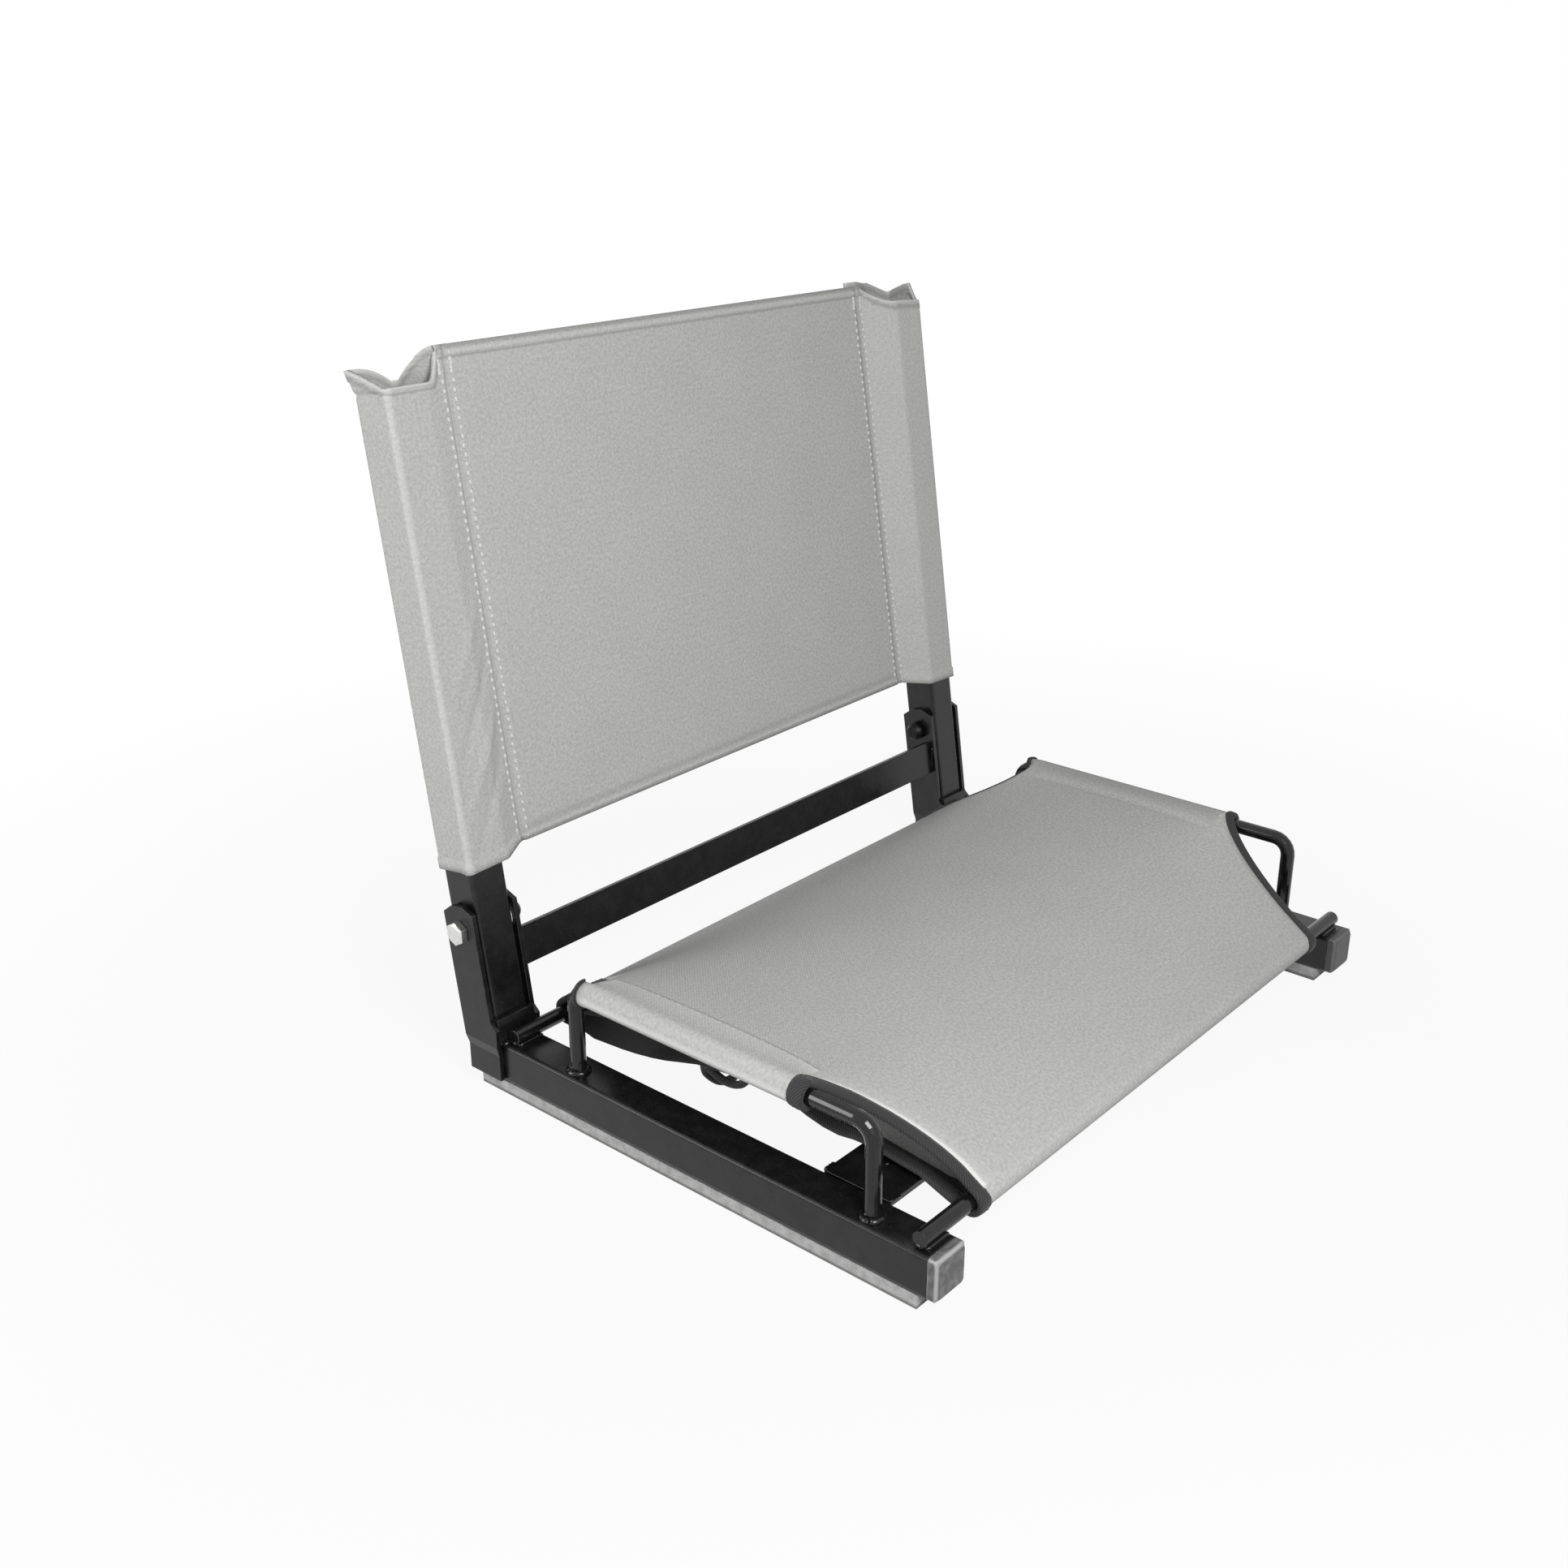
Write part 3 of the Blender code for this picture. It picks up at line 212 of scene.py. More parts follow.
world = bpy.data.worlds.new("studio")
bpy.context.scene.world = world
world.use_nodes = True
tree = world.node_tree
level = node(tree, "MapRange", {"Value": seen_share(tree), "To Min": WORLD_LEVEL})
sky = tree.nodes["Background"]
sky.inputs["Color"].default_value = linear("ffffff")
tree.links.new(level.outputs[0], sky.inputs["Strength"])
print(f"world lights at {WORLD_LEVEL}")

# %% Lay the floor
ground_paint, tree, shader = new_finish(
    "grey studio paint", Base_Color=linear("bcbcbc"), Roughness=0.9, Specular_IOR_Level=0.0)
place = node(tree, "TexCoord").outputs["Object"]
away = node(tree, "VectorMath", {0: place}, operation="LENGTH").outputs["Value"]
glow_level = node(tree, "MapRange", {
    "Value": away, "From Min": GLOW_GROWS_FROM, "From Max": GLOW_GROWS_TO, "To Min": NEAR_GLOW,
}).outputs[0]
share = node(tree, "Math", {0: seen_share(tree), 1: glow_level}, operation="MULTIPLY").outputs[0]
glow = node(tree, "Emission", {"Color": linear("ffffff"), "Strength": 1.0})
blend = node(tree, "MixShader", {0: share, 1: shader.outputs[0], 2: glow.outputs[0]})
tree.links.new(blend.outputs[0], tree.nodes["Material Output"].inputs["Surface"])
bm = bmesh.new()
bmesh.ops.create_circle(bm, cap_ends=True, segments=GROUND_SIDES, radius=GROUND_RADIUS)
ground_mesh = bpy.data.meshes.new("ground")
bm.to_mesh(ground_mesh)
bm.free()
ground_mesh.materials.append(ground_paint)
ground = bpy.data.objects.new("ground", ground_mesh)
bpy.context.scene.collection.objects.link(ground)
print(f"floor {2 * GROUND_RADIUS:.0f} m across")


# %% Set up the lamps
def soft_lamp(name, place, size, watts):
    """A round area lamp that looks at the middle of the chair."""
    lamp = bpy.data.lights.new(name, "AREA")
    lamp.shape = "DISK"
    lamp.size = size
    lamp.energy = watts
    holder = bpy.data.objects.new(name, lamp)
    holder.location = place
    holder.rotation_euler = (LAMPS_LOOK_AT - holder.location).to_track_quat("-Z", "Y").to_euler()
    bpy.context.scene.collection.objects.link(holder)
    print(f"{name}: {watts:g} W, {size:g} m across")


soft_lamp("front lamp", place=(-0.55, -0.78, 0.76), size=0.45, watts=10.2)
soft_lamp("side lamp", place=(-1.3, 0.8, 0.45), size=0.7, watts=9.6)

# %% [markdown]
# ## Powder-coated steel
# The frame is welded steel under black powder coat: plastic dust, melted in an oven. It flows into a fine
# orange peel, thins on sharp edges and holds light dust. On round rods and weld beads it pools, and is
# glossier. The peel is drawn coarser than its real 0.5 mm to show at this distance. The Bevel node rounds
# the shading of the solids' edges, and marks where they are. Their pale colour is partly thin coat and
# partly a painted highlight.

# %% Powder coat
EDGE_ROUND = 0.8 * MM
COAT_PATCH = 9.0 * MM           # patches of thinner and thicker coat
DUST_GRAIN = 2.2 * MM
PEEL = 1.3 * MM
coats = {}
# The name, the specular level, and the least and most roughness.
for name, gloss, low_rough, high_rough in (
    ("black powder coat", 0.35, 0.2, 0.34),
    ("pooled powder coat", 0.4, 0.08, 0.15),
):
    finish, tree, shader = new_finish(name, IOR=1.5, Specular_IOR_Level=gloss)
    place = node(tree, "TexCoord").outputs["Object"]
    rounded = node(tree, "Bevel", {"Radius": EDGE_ROUND}, samples=4).outputs[0]
    flat_normal = node(tree, "NewGeometry").outputs["Normal"]
    agree = node(tree, "VectorMath", {0: rounded, 1: flat_normal}, operation="DOT_PRODUCT").outputs["Value"]
    edge = node(tree, "MapRange", {"Value": agree, "From Min": 0.96, "From Max": 0.8}).outputs[0]
    patches = node(tree, "TexNoise", {"Vector": place, "Scale": 1 / COAT_PATCH, "Detail": 4.0}).outputs["Fac"]
    patch = node(tree, "MapRange", {"Value": patches, "From Min": 0.35, "From Max": 0.7}).outputs[0]
    # Pale edges: partly thin coat, partly a painted highlight of the rounded edges.
    wear_and_painted_highlight = node(tree, "Math", {0: edge, 1: patch}, operation="MULTIPLY").outputs[0]
    grit = node(tree, "TexNoise", {"Vector": place, "Scale": 1 / DUST_GRAIN, "Detail": 3.0}).outputs["Fac"]
    dust = node(tree, "MapRange", {
        "Value": grit, "From Min": 0.64, "From Max": 0.74, "To Max": 0.2,
    }).outputs[0]
    tone = linear("0f0f10")
    for share, colour in ((patch, "1a1a1b"), (wear_and_painted_highlight, "5e5e5e"), (dust, "4a4a49")):
        tone = node(tree, "Mix", {0: share, 6: tone, 7: linear(colour)}, data_type="RGBA").outputs[2]
    rough = node(tree, "MapRange", {"Value": patches, "To Min": low_rough, "To Max": high_rough}).outputs[0]
    peel = node(tree, "TexNoise", {"Vector": place, "Scale": 1 / PEEL, "Detail": 1.0}).outputs["Fac"]
    bump = node(tree, "Bump", {
        "Height": peel, "Normal": rounded, "Strength": 0.15, "Distance": 0.15 * MM,
    }).outputs[0]
    vary(tree, shader, {"Base Color": tone, "Roughness": rough, "Normal": bump})
    coats[name.split()[0]] = finish
coat = coats["black"]
print("finishes:", [finish.name for finish in coats.values()])

# %% [markdown]
# ## Woven canvas
# Seat and back are grey polyester canvas in a plain weave: each thread goes over one and under the next. The
# pattern follows the cloth, so it reads the piece's own UV map, which is laid out in metres. The threads are
# drawn 1.1 mm apart, about twice their real spacing, so that they show. Slight slubs make the grey mottled.
# An attribute of the cloth makes it paler or darker: painted highlights and painted shade on folds, seams
# and sleeves, and on the back darker edges and paler hems.

# %% Canvas
THREAD_PITCH = 1.1 * MM
SLUB = 2.0 * MM                 # thicker places in the threads
CLOUD = 45.0 * MM               # wide, faint patches of tone

canvas, tree, shader = new_finish(
    "grey canvas", Roughness=0.9, Sheen_Weight=0.02, Sheen_Roughness=0.5, Specular_IOR_Level=0.12)
cloth_map = node(tree, "UVMap", uv_map="cloth").outputs[0]
threads = node(tree, "VectorMath", {0: cloth_map, "Scale": 1 / THREAD_PITCH}, operation="SCALE").outputs[0]
over = node(tree, "TexChecker", {"Vector": threads, "Scale": 1.0}).outputs["Fac"]
split = node(tree, "SeparateXYZ", {0: threads}).outputs
arches = []
for axis in ("X", "Y"):
    turn = node(tree, "Math", {0: split[axis], 1: math.pi}, operation="MULTIPLY").outputs[0]
    wave = node(tree, "Math", {0: turn}, operation="SINE").outputs[0]
    arches.append(node(tree, "Math", {0: wave}, operation="ABSOLUTE").outputs[0])
weave = node(tree, "Mix", {0: over, 2: arches[0], 3: arches[1]}, data_type="FLOAT").outputs[0]
slubs = node(tree, "TexNoise", {"Vector": cloth_map, "Scale": 1 / SLUB, "Detail": 3.0}).outputs["Fac"]
clouds = node(tree, "TexNoise", {"Vector": cloth_map, "Scale": 1 / CLOUD, "Detail": 2.0}).outputs["Fac"]
mottle = node(tree, "Mix", {0: 0.12, 2: slubs, 3: clouds}, data_type="FLOAT").outputs[0]
mottle = node(tree, "MapRange", {"Value": mottle, "From Min": 0.35, "From Max": 0.65}).outputs[0]
tone = node(tree, "Mix", {0: mottle, 6: linear("b0b0af"), 7: linear("c5c5c4")}, data_type="RGBA").outputs[2]
gap = node(tree, "MapRange", {"Value": weave, "From Max": 0.6, "To Min": 0.25, "To Max": 0.0}).outputs[0]
tone = node(tree, "Mix", {0: gap, 6: tone, 7: linear("8c8c8b")}, data_type="RGBA").outputs[2]
painted_light_and_tone = node(tree, "Attribute", attribute_name="painted_light_and_tone").outputs["Fac"]
# Paler f4f4f2 for a painted highlight, darker 7a7a79 for painted shade.
for full, colour in ((1.0, "f4f4f2"), (-1.0, "7a7a79")):
    share = node(tree, "MapRange", {"Value": painted_light_and_tone, "From Max": full, "To Max": 0.85}).outputs[0]
    tone = node(tree, "Mix", {0: share, 6: tone, 7: linear(colour)}, data_type="RGBA").outputs[2]
bump = node(tree, "Bump", {"Height": weave, "Strength": 0.35, "Distance": 0.25 * MM}).outputs[0]
bump = node(tree, "Bump", {
    "Height": slubs, "Normal": bump, "Strength": 0.07, "Distance": 0.4 * MM,
}).outputs[0]
vary(tree, shader, {"Base Color": tone, "Normal": bump})
print("finish:", canvas.name)

# %% [markdown]
# ## Binding tape, cord and thread
# The seat's cut edges are bound with dark polypropylene tape, woven as a twill: fine slanting ribs. The cord
# is a round braid, where two sets of strands cross like a chain of small chevrons. The sewing thread is
# twisted polyester: light on the back's seams, grey on the hems and the seat, black on the tape.

# %% Tape, cord and thread
WAVE_PITCH = math.pi / 10       # pitch of a wave texture of scale 1
RIB_PITCH = 1.3 * MM            # about twice the real one, to show
RIB_SLANT = math.radians(40)
STRAND_PITCH = 1.6 * MM
STRAND_SLANT = math.radians(35)
TWIST = 0.7 * MM

tape, tree, shader = new_finish("dark twill tape", Roughness=0.8, Sheen_Weight=0.1, Specular_IOR_Level=0.3)
cloth_map = node(tree, "UVMap", uv_map="cloth").outputs[0]
turned = node(tree, "Mapping", {"Vector": cloth_map, "Rotation": (0, 0, RIB_SLANT)}).outputs[0]
ribs = node(tree, "TexWave", {
    "Vector": turned, "Scale": WAVE_PITCH / RIB_PITCH, "Distortion": 0.4,
}).outputs["Fac"]
tone = node(tree, "Mix", {0: ribs, 6: linear("272728"), 7: linear("3c3c3d")}, data_type="RGBA").outputs[2]
bump = node(tree, "Bump", {"Height": ribs, "Strength": 0.5, "Distance": 0.3 * MM}).outputs[0]
vary(tree, shader, {"Base Color": tone, "Normal": bump})

braid, tree, shader = new_finish("black braided cord", Roughness=0.75, Sheen_Weight=0.1)
cord_map = node(tree, "UVMap", uv_map="cloth").outputs[0]
strands = []
for slant in (-STRAND_SLANT, STRAND_SLANT):
    turned = node(tree, "Mapping", {"Vector": cord_map, "Rotation": (0, 0, slant)}).outputs[0]
    wave = node(tree, "TexWave", {"Vector": turned, "Scale": WAVE_PITCH / STRAND_PITCH}).outputs["Fac"]
    strands.append(wave)
plait = node(tree, "Math", {0: strands[0], 1: strands[1]}, operation="MAXIMUM").outputs[0]
tone = node(tree, "Mix", {0: plait, 6: linear("1c1c1c"), 7: linear("484848")}, data_type="RGBA").outputs[2]
bump = node(tree, "Bump", {"Height": plait, "Strength": 0.6, "Distance": 0.4 * MM}).outputs[0]
vary(tree, shader, {"Base Color": tone, "Normal": bump})

threads_of = {}
for name, dark, light in (
    ("light sewing thread", "bcbcba", "e6e6e4"),
    ("grey sewing thread", "a2a2a1", "c6c6c5"),
    ("black sewing thread", "121212", "3a3a3a"),
):
    thread, tree, shader = new_finish(name, Roughness=0.6)
    place = node(tree, "TexCoord").outputs["Object"]
    twist = node(tree, "TexNoise", {"Vector": place, "Scale": 1 / TWIST, "Detail": 2.0}).outputs["Fac"]
    tone = node(tree, "Mix", {0: twist, 6: linear(dark), 7: linear(light)}, data_type="RGBA").outputs[2]
    bump = node(tree, "Bump", {"Height": twist, "Strength": 0.4, "Distance": 0.2 * MM}).outputs[0]
    vary(tree, shader, {"Base Color": tone, "Normal": bump})
    threads_of[name.split()[0]] = thread
print("finishes:", tape.name, braid.name, [thread.name for thread in threads_of.values()])

# %% [markdown]
# ## Plastic, rubber, nylon and plated steel
# The rails end in moulded polyethylene caps. Their edges, which are where the rounded normal points along
# none of the axes, are painted pale as a painted highlight, most on the left cap, and the right cap is
# painted darker as painted shade. The rails stand on strips of grey foam rubber, whose cut faces show pores
# and whose lower edges are painted darker as a painted contact shadow. Bolts are zinc plated, which leaves a
# bright, slightly cloudy metal; the nuts are blackened. The washers are milky nylon.

# %% Caps
CAP_ROUND = 2.2 * MM
SCUFF = 4.5 * MM

cap_plastic, tree, shader = new_finish("moulded polyethylene", Roughness=0.5, IOR=1.5)
place = node(tree, "TexCoord").outputs["Object"]
rounded = node(tree, "Bevel", {"Radius": CAP_ROUND}, samples=8).outputs[0]
size = node(tree, "VectorMath", {0: rounded}, operation="ABSOLUTE").outputs[0]
along = node(tree, "SeparateXYZ", {0: size}).outputs
most = node(tree, "Math", {0: along["X"], 1: along["Y"]}, operation="MAXIMUM").outputs[0]
most = node(tree, "Math", {0: most, 1: along["Z"]}, operation="MAXIMUM").outputs[0]
edge = node(tree, "MapRange", {"Value": most, "From Min": 0.97, "From Max": 0.74}).outputs[0]
# Painted light: a painted highlight on the edges, strongest on the left cap, and painted shade that darkens
# the right cap.
across = node(tree, "SeparateXYZ", {0: place}).outputs["X"]
painted_lit_side = node(tree, "MapRange", {
    "Value": across, "From Min": -0.1, "From Max": 0.1, "To Min": 1.0, "To Max": 0.2,
}).outputs[0]
painted_light_and_tone = node(tree, "Math", {0: edge, 1: painted_lit_side}, operation="MULTIPLY").outputs[0]
scuffs = node(tree, "TexNoise", {"Vector": place, "Scale": 1 / SCUFF, "Detail": 5.0}).outputs["Fac"]
scuff = node(tree, "MapRange", {"Value": scuffs, "From Min": 0.4, "From Max": 0.7}).outputs[0]
tone = node(tree, "Mix", {0: scuff, 6: linear("4e4e4f"), 7: linear("767676")}, data_type="RGBA").outputs[2]
tone = node(tree, "Mix", {0: painted_lit_side, 6: linear("343435"), 7: tone}, data_type="RGBA").outputs[2]
tone = node(tree, "Mix", {0: painted_light_and_tone, 6: tone, 7: linear("aaaaaa")}, data_type="RGBA").outputs[2]
bump = node(tree, "Bump", {
    "Height": scuffs, "Normal": rounded, "Strength": 0.3, "Distance": 0.2 * MM,
}).outputs[0]
vary(tree, shader, {"Base Color": tone, "Normal": bump})
print("finish:", cap_plastic.name)

# %% Rubber strips
PORE = 1.5 * MM
BLOTCH = 6.0 * MM
SHADE_FROM = 3.4 * MM            # height below which a strip is painted darker, as a painted contact shadow
SHADE_FULL = 2.0 * MM

rubber, tree, shader = new_finish("grey foam rubber", Roughness=0.9, Specular_IOR_Level=0.25)
place = node(tree, "TexCoord").outputs["Object"]
pores = node(tree, "TexVoronoi", {"Vector": place, "Scale": 1 / PORE}).outputs["Distance"]
pore = node(tree, "MapRange", {"Value": pores, "From Max": 0.45, "To Min": 1.0, "To Max": 0.0}).outputs[0]
blotches = node(tree, "TexNoise", {"Vector": place, "Scale": 1 / BLOTCH, "Detail": 4.0}).outputs["Fac"]
blotch = node(tree, "MapRange", {"Value": blotches, "From Min": 0.35, "From Max": 0.65}).outputs[0]
tone = node(tree, "Mix", {0: blotch, 6: linear("a2a2a1"), 7: linear("bababa")}, data_type="RGBA").outputs[2]
dim = node(tree, "Math", {0: pore, 1: 0.35}, operation="MULTIPLY").outputs[0]
tone = node(tree, "Mix", {0: dim, 6: tone, 7: linear("787877")}, data_type="RGBA").outputs[2]
# Painted shade: the strip darkens towards its lower edge, as a contact shadow.
height = node(tree, "SeparateXYZ", {0: place}).outputs["Z"]
painted_contact_shade = node(tree, "MapRange", {
    "Value": height, "From Min": SHADE_FROM, "From Max": SHADE_FULL, "To Max": 0.75,
}).outputs[0]
tone = node(tree, "Mix", {0: painted_contact_shade, 6: tone, 7: linear("5a5a59")}, data_type="RGBA").outputs[2]
bump = node(tree, "Bump", {"Height": pores, "Strength": 0.4, "Distance": 0.3 * MM}).outputs[0]
vary(tree, shader, {"Base Color": tone, "Normal": bump})
print("finish:", rubber.name)

# %% Plated steel and nylon
HARDWARE_ROUND = 0.4 * MM
PLATE_CLOUD = 2.0 * MM
NYLON_CLOUD = 4.0 * MM
plated = {}
# The name, a dark and a light tone, and the least and most roughness.
for name, dark, light, low_rough, high_rough in (
    ("zinc plate", "c4c4c0", "e6e6e4", 0.22, 0.4),
    ("black oxide", "161616", "2e2e2e", 0.35, 0.55),
):
    metal, tree, shader = new_finish(name, Metallic=1.0)
    place = node(tree, "TexCoord").outputs["Object"]
    rounded = node(tree, "Bevel", {"Radius": HARDWARE_ROUND}, samples=4).outputs[0]
    cloudy = node(tree, "TexNoise", {"Vector": place, "Scale": 1 / PLATE_CLOUD, "Detail": 4.0}).outputs["Fac"]
    tone = node(tree, "Mix", {0: cloudy, 6: linear(dark), 7: linear(light)}, data_type="RGBA").outputs[2]
    rough = node(tree, "MapRange", {"Value": cloudy, "To Min": low_rough, "To Max": high_rough}).outputs[0]
    bump = node(tree, "Bump", {
        "Height": cloudy, "Normal": rounded, "Strength": 0.2, "Distance": 0.1 * MM,
    }).outputs[0]
    vary(tree, shader, {"Base Color": tone, "Roughness": rough, "Normal": bump})
    plated[name] = metal

nylon, tree, shader = new_finish("natural nylon", Roughness=0.45, IOR=1.53)
place = node(tree, "TexCoord").outputs["Object"]
milk = node(tree, "TexNoise", {"Vector": place, "Scale": 1 / NYLON_CLOUD, "Detail": 3.0}).outputs["Fac"]
tone = node(tree, "Mix", {0: milk, 6: linear("cfcfc8"), 7: linear("e4e4de")}, data_type="RGBA").outputs[2]
vary(tree, shader, {"Base Color": tone})
print("finishes:", sorted(plated), nylon.name)

# %% [markdown]
# ## Dress the solids
# The rigid pieces have the right shape already, so they stay, and only their material changes. The record
# says which finish each piece has, and the round rods take the glossier coat.

# %% Give each solid its finish
finish_of = {
    "frame_coat": coat,
    "canvas": canvas,
    "binding_tape": tape,
    "strip_rubber": rubber,
    "cap_plastic": cap_plastic,
    "zinc": plated["zinc plate"],
    "black_nut": plated["black oxide"],
    "nylon": nylon,
    "lacing": braid,
}
for subpart in frame["record"]["subparts"]:
    solid = nodes[subpart["node"]]
    is_rod = subpart["node"].endswith("_rod")
    for place in solid.material_slots:
        place.material = coats["pooled"] if is_rod else finish_of[subpart["material_slot"]]
print(f"{len(finish_of)} finishes given to the solids")

# %% [markdown]
# ## A grid of cloth
# All the cloth starts as a flat grid, like cloth on a cutting table. Each crossing of the grid is then put
# where it hangs on the chair, and the UV map keeps the length of the cloth in metres, so that the weave
# keeps its scale. A Solidify modifier gives the thickness last.

# %% Cloth helpers
def cloth_grid(columns, rows):
    """A bmesh grid and its vertices as rows, each a list across the cloth."""
    bm = bmesh.new()
    bmesh.ops.create_grid(bm, x_segments=columns - 1, y_segments=rows - 1, size=0.5)
    grid = [[None] * columns for row in range(rows)]
    for vert in bm.verts:
        column = round((vert.co.x + 0.5) * (columns - 1))
        row = round((vert.co.y + 0.5) * (rows - 1))
        grid[row][column] = vert
    return bm, grid


def lengths_along(points):
    """The way from the first point to each point of a line."""
    ways = [0.0]
    for before, after in zip(points, points[1:]):
        ways.append(ways[-1] + (after - before).length)
    return ways


def lay_out(bm, flat_places):
    """Writes the flat place of each vertex, in metres, to the UV map."""
    layer = bm.loops.layers.uv.new("cloth")
    for face in bm.faces:
        for loop in face.loops:
            loop[layer].uv = flat_places[loop.vert]


# %% From a bmesh to a piece
def finish_piece(name, bm, material, body, thickness=None, hem=None, painted_light_and_tone=None):
    """Makes an object of a bmesh, gives it its finish and thickness, and lets it ride on a body.

    The vertices of a hem have the full thickness, and then the others have half of it. A share per vertex
    makes it paler, or darker if negative: painted highlight and painted shade, and on the back plain tone.
    """
    bm.verts.index_update()
    doubled = [vert.index for vert in hem or []]
    single = [vert.index for vert in bm.verts if vert not in hem] if hem else []
    painted_light_and_tone_shares = [painted_light_and_tone.get(vert, 0.0) for vert in bm.verts] if painted_light_and_tone else []
    mesh = bpy.data.meshes.new(name)
    bm.to_mesh(mesh)
    bm.free()
    if painted_light_and_tone:
        mesh.attributes.new("painted_light_and_tone", "FLOAT", "POINT").data.foreach_set("value", painted_light_and_tone_shares)
    mesh.shade_smooth()
    mesh.materials.append(material)
    piece = bpy.data.objects.new(name, mesh)
    bpy.context.scene.collection.objects.link(piece)
    if thickness:
        skin = piece.modifiers.new("thickness", "SOLIDIFY")
        skin.thickness = thickness
        skin.offset = 0.0
        skin.use_even_offset = True
        if hem:
            layers = piece.vertex_groups.new(name="layers of cloth")
            layers.add(doubled, 1.0, "REPLACE")
            layers.add(single, 0.5, "REPLACE")
            skin.vertex_group = layers.name
    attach(piece, body)
    return piece


# %% [markdown]
# ## The seat's pattern
# The seat is one cloth. It lies round the two side rods in sleeves, goes over the front and rear rods and
# comes back underneath as two flaps, which a lacing pulls together. Its corners are cut out in curves, so
# that the rods' bends stay free. The rows below run from the end of the front flap to that of the rear one.

# %% Sizes of the seat
TAPE_WIDTH = 9.0 * MM
TAPE_THICK = 0.8 * MM
SLEEVE_PLAY = 0.5 * MM              # between a sleeve and what fills it
WRAP = ROD / 2 + SLEEVE_PLAY + TAPE_THICK + FIT + CLOTH / 2     # the cloth's middle round a rod
SIDE_LEAVE = math.radians(14.0)     # slope at which the cloth leaves the side rods
EDGE_LEAVE = math.radians(24.0)     # and the cross rods
SIDE_SEAM = 16.0 * MM               # the sleeves' seam, inwards from the rod
SEAM_ALLOWANCE = 7.0 * MM           # cloth of a sleeve past its seam
NOTCH_DEPTH = 45.3 * MM             # of the cut-out corners, inwards from the rod
SHEET_SIDE_X = SEAT_ROD_X - WRAP * math.sin(SIDE_LEAVE)
SHEET_SIDE_Z = SEAT_ROD_Z + WRAP * math.cos(SIDE_LEAVE)
SHEET_EDGE_Z = ROD_Z + WRAP * math.cos(EDGE_LEAVE)
SHEET_HALF = SEAT_ROD_X - NOTCH_DEPTH
FLAP_TAPER = 18.0 * MM              # how much narrower a flap's half is at its end
FLAP_RISE_RUN = 32.0 * MM           # way from the rod after which a flap is level
FLAP_LENGTH = 145.0 * MM            # of the front flap
FLAP_GAP = 25.4 * MM
FLAP_Z = RAIL_TOP + 2.4 * MM
EYELET = 9.0 * MM
EYELET_INSET = 9.0 * MM             # from a flap's end
EYELET_SIDE_INSET = 7.0 * MM
EYELETS = 6
FLAP_END_HALF = SHEET_HALF - FLAP_TAPER
EYELET_PITCH = 2 * (FLAP_END_HALF - EYELET_SIDE_INSET) / (EYELETS - 1)
REAR_FLAP_LENGTH = REAR_ROD_Y - FRONT_ROD_Y - FLAP_LENGTH - FLAP_GAP
SLEEVE_FRONT = FRONT + 99.0 * MM
SLEEVE_REAR = REAR_POST_Y - 15.3 * MM
NOTCH_FRONT = FRONT + 22.0 * MM
NOTCH_REAR = REAR_ROD_Y - 25.0 * MM
NOTCH_FLATNESS = 1.35               # above 1 the front notches bow less than an ellipse
print(f"front flap {FLAP_LENGTH / MM:.0f} mm, rear flap {REAR_FLAP_LENGTH / MM:.0f} mm")


# %% Rows over the rods
def sheet_rows():
    """The y and half width of the rows over the rods, and the first and last row that have sleeves."""
    edge_steps = 3
    arc_steps = 16
    sleeve_steps = 24
    front_edge = FRONT_ROD_Y - WRAP * math.sin(EDGE_LEAVE)
    rear_edge = REAR_ROD_Y + WRAP * math.sin(EDGE_LEAVE)
    rows = []
    for step in range(edge_steps):
        rows.append((front_edge + (NOTCH_FRONT - front_edge) * step / edge_steps, SHEET_HALF))
    for step in range(arc_steps + 1):
        turn = step / arc_steps * math.pi / 2
        y = NOTCH_FRONT + (SLEEVE_FRONT - NOTCH_FRONT) * math.sin(turn) ** NOTCH_FLATNESS
        depth = (SHEET_SIDE_X - SHEET_HALF) * max(math.cos(turn), 0.0) ** NOTCH_FLATNESS
        rows.append((y, SHEET_SIDE_X - depth))
    first = len(rows) - 1
    for step in range(1, sleeve_steps):
        rows.append((SLEEVE_FRONT + (SLEEVE_REAR - SLEEVE_FRONT) * step / sleeve_steps, SHEET_SIDE_X))
    last = len(rows)
    for step in range(arc_steps, -1, -1):
        turn = step / arc_steps * math.pi / 2
        y = NOTCH_REAR - (NOTCH_REAR - SLEEVE_REAR) * math.sin(turn)
        rows.append((y, SHEET_SIDE_X - (SHEET_SIDE_X - SHEET_HALF) * math.cos(turn)))
    for step in range(1, edge_steps + 1):
        rows.append((NOTCH_REAR + (rear_edge - NOTCH_REAR) * step / edge_steps, SHEET_HALF))
    return rows, first, last


over_rows, first_sleeve, last_sleeve = sheet_rows()
print(f"{len(over_rows)} rows over the rods")


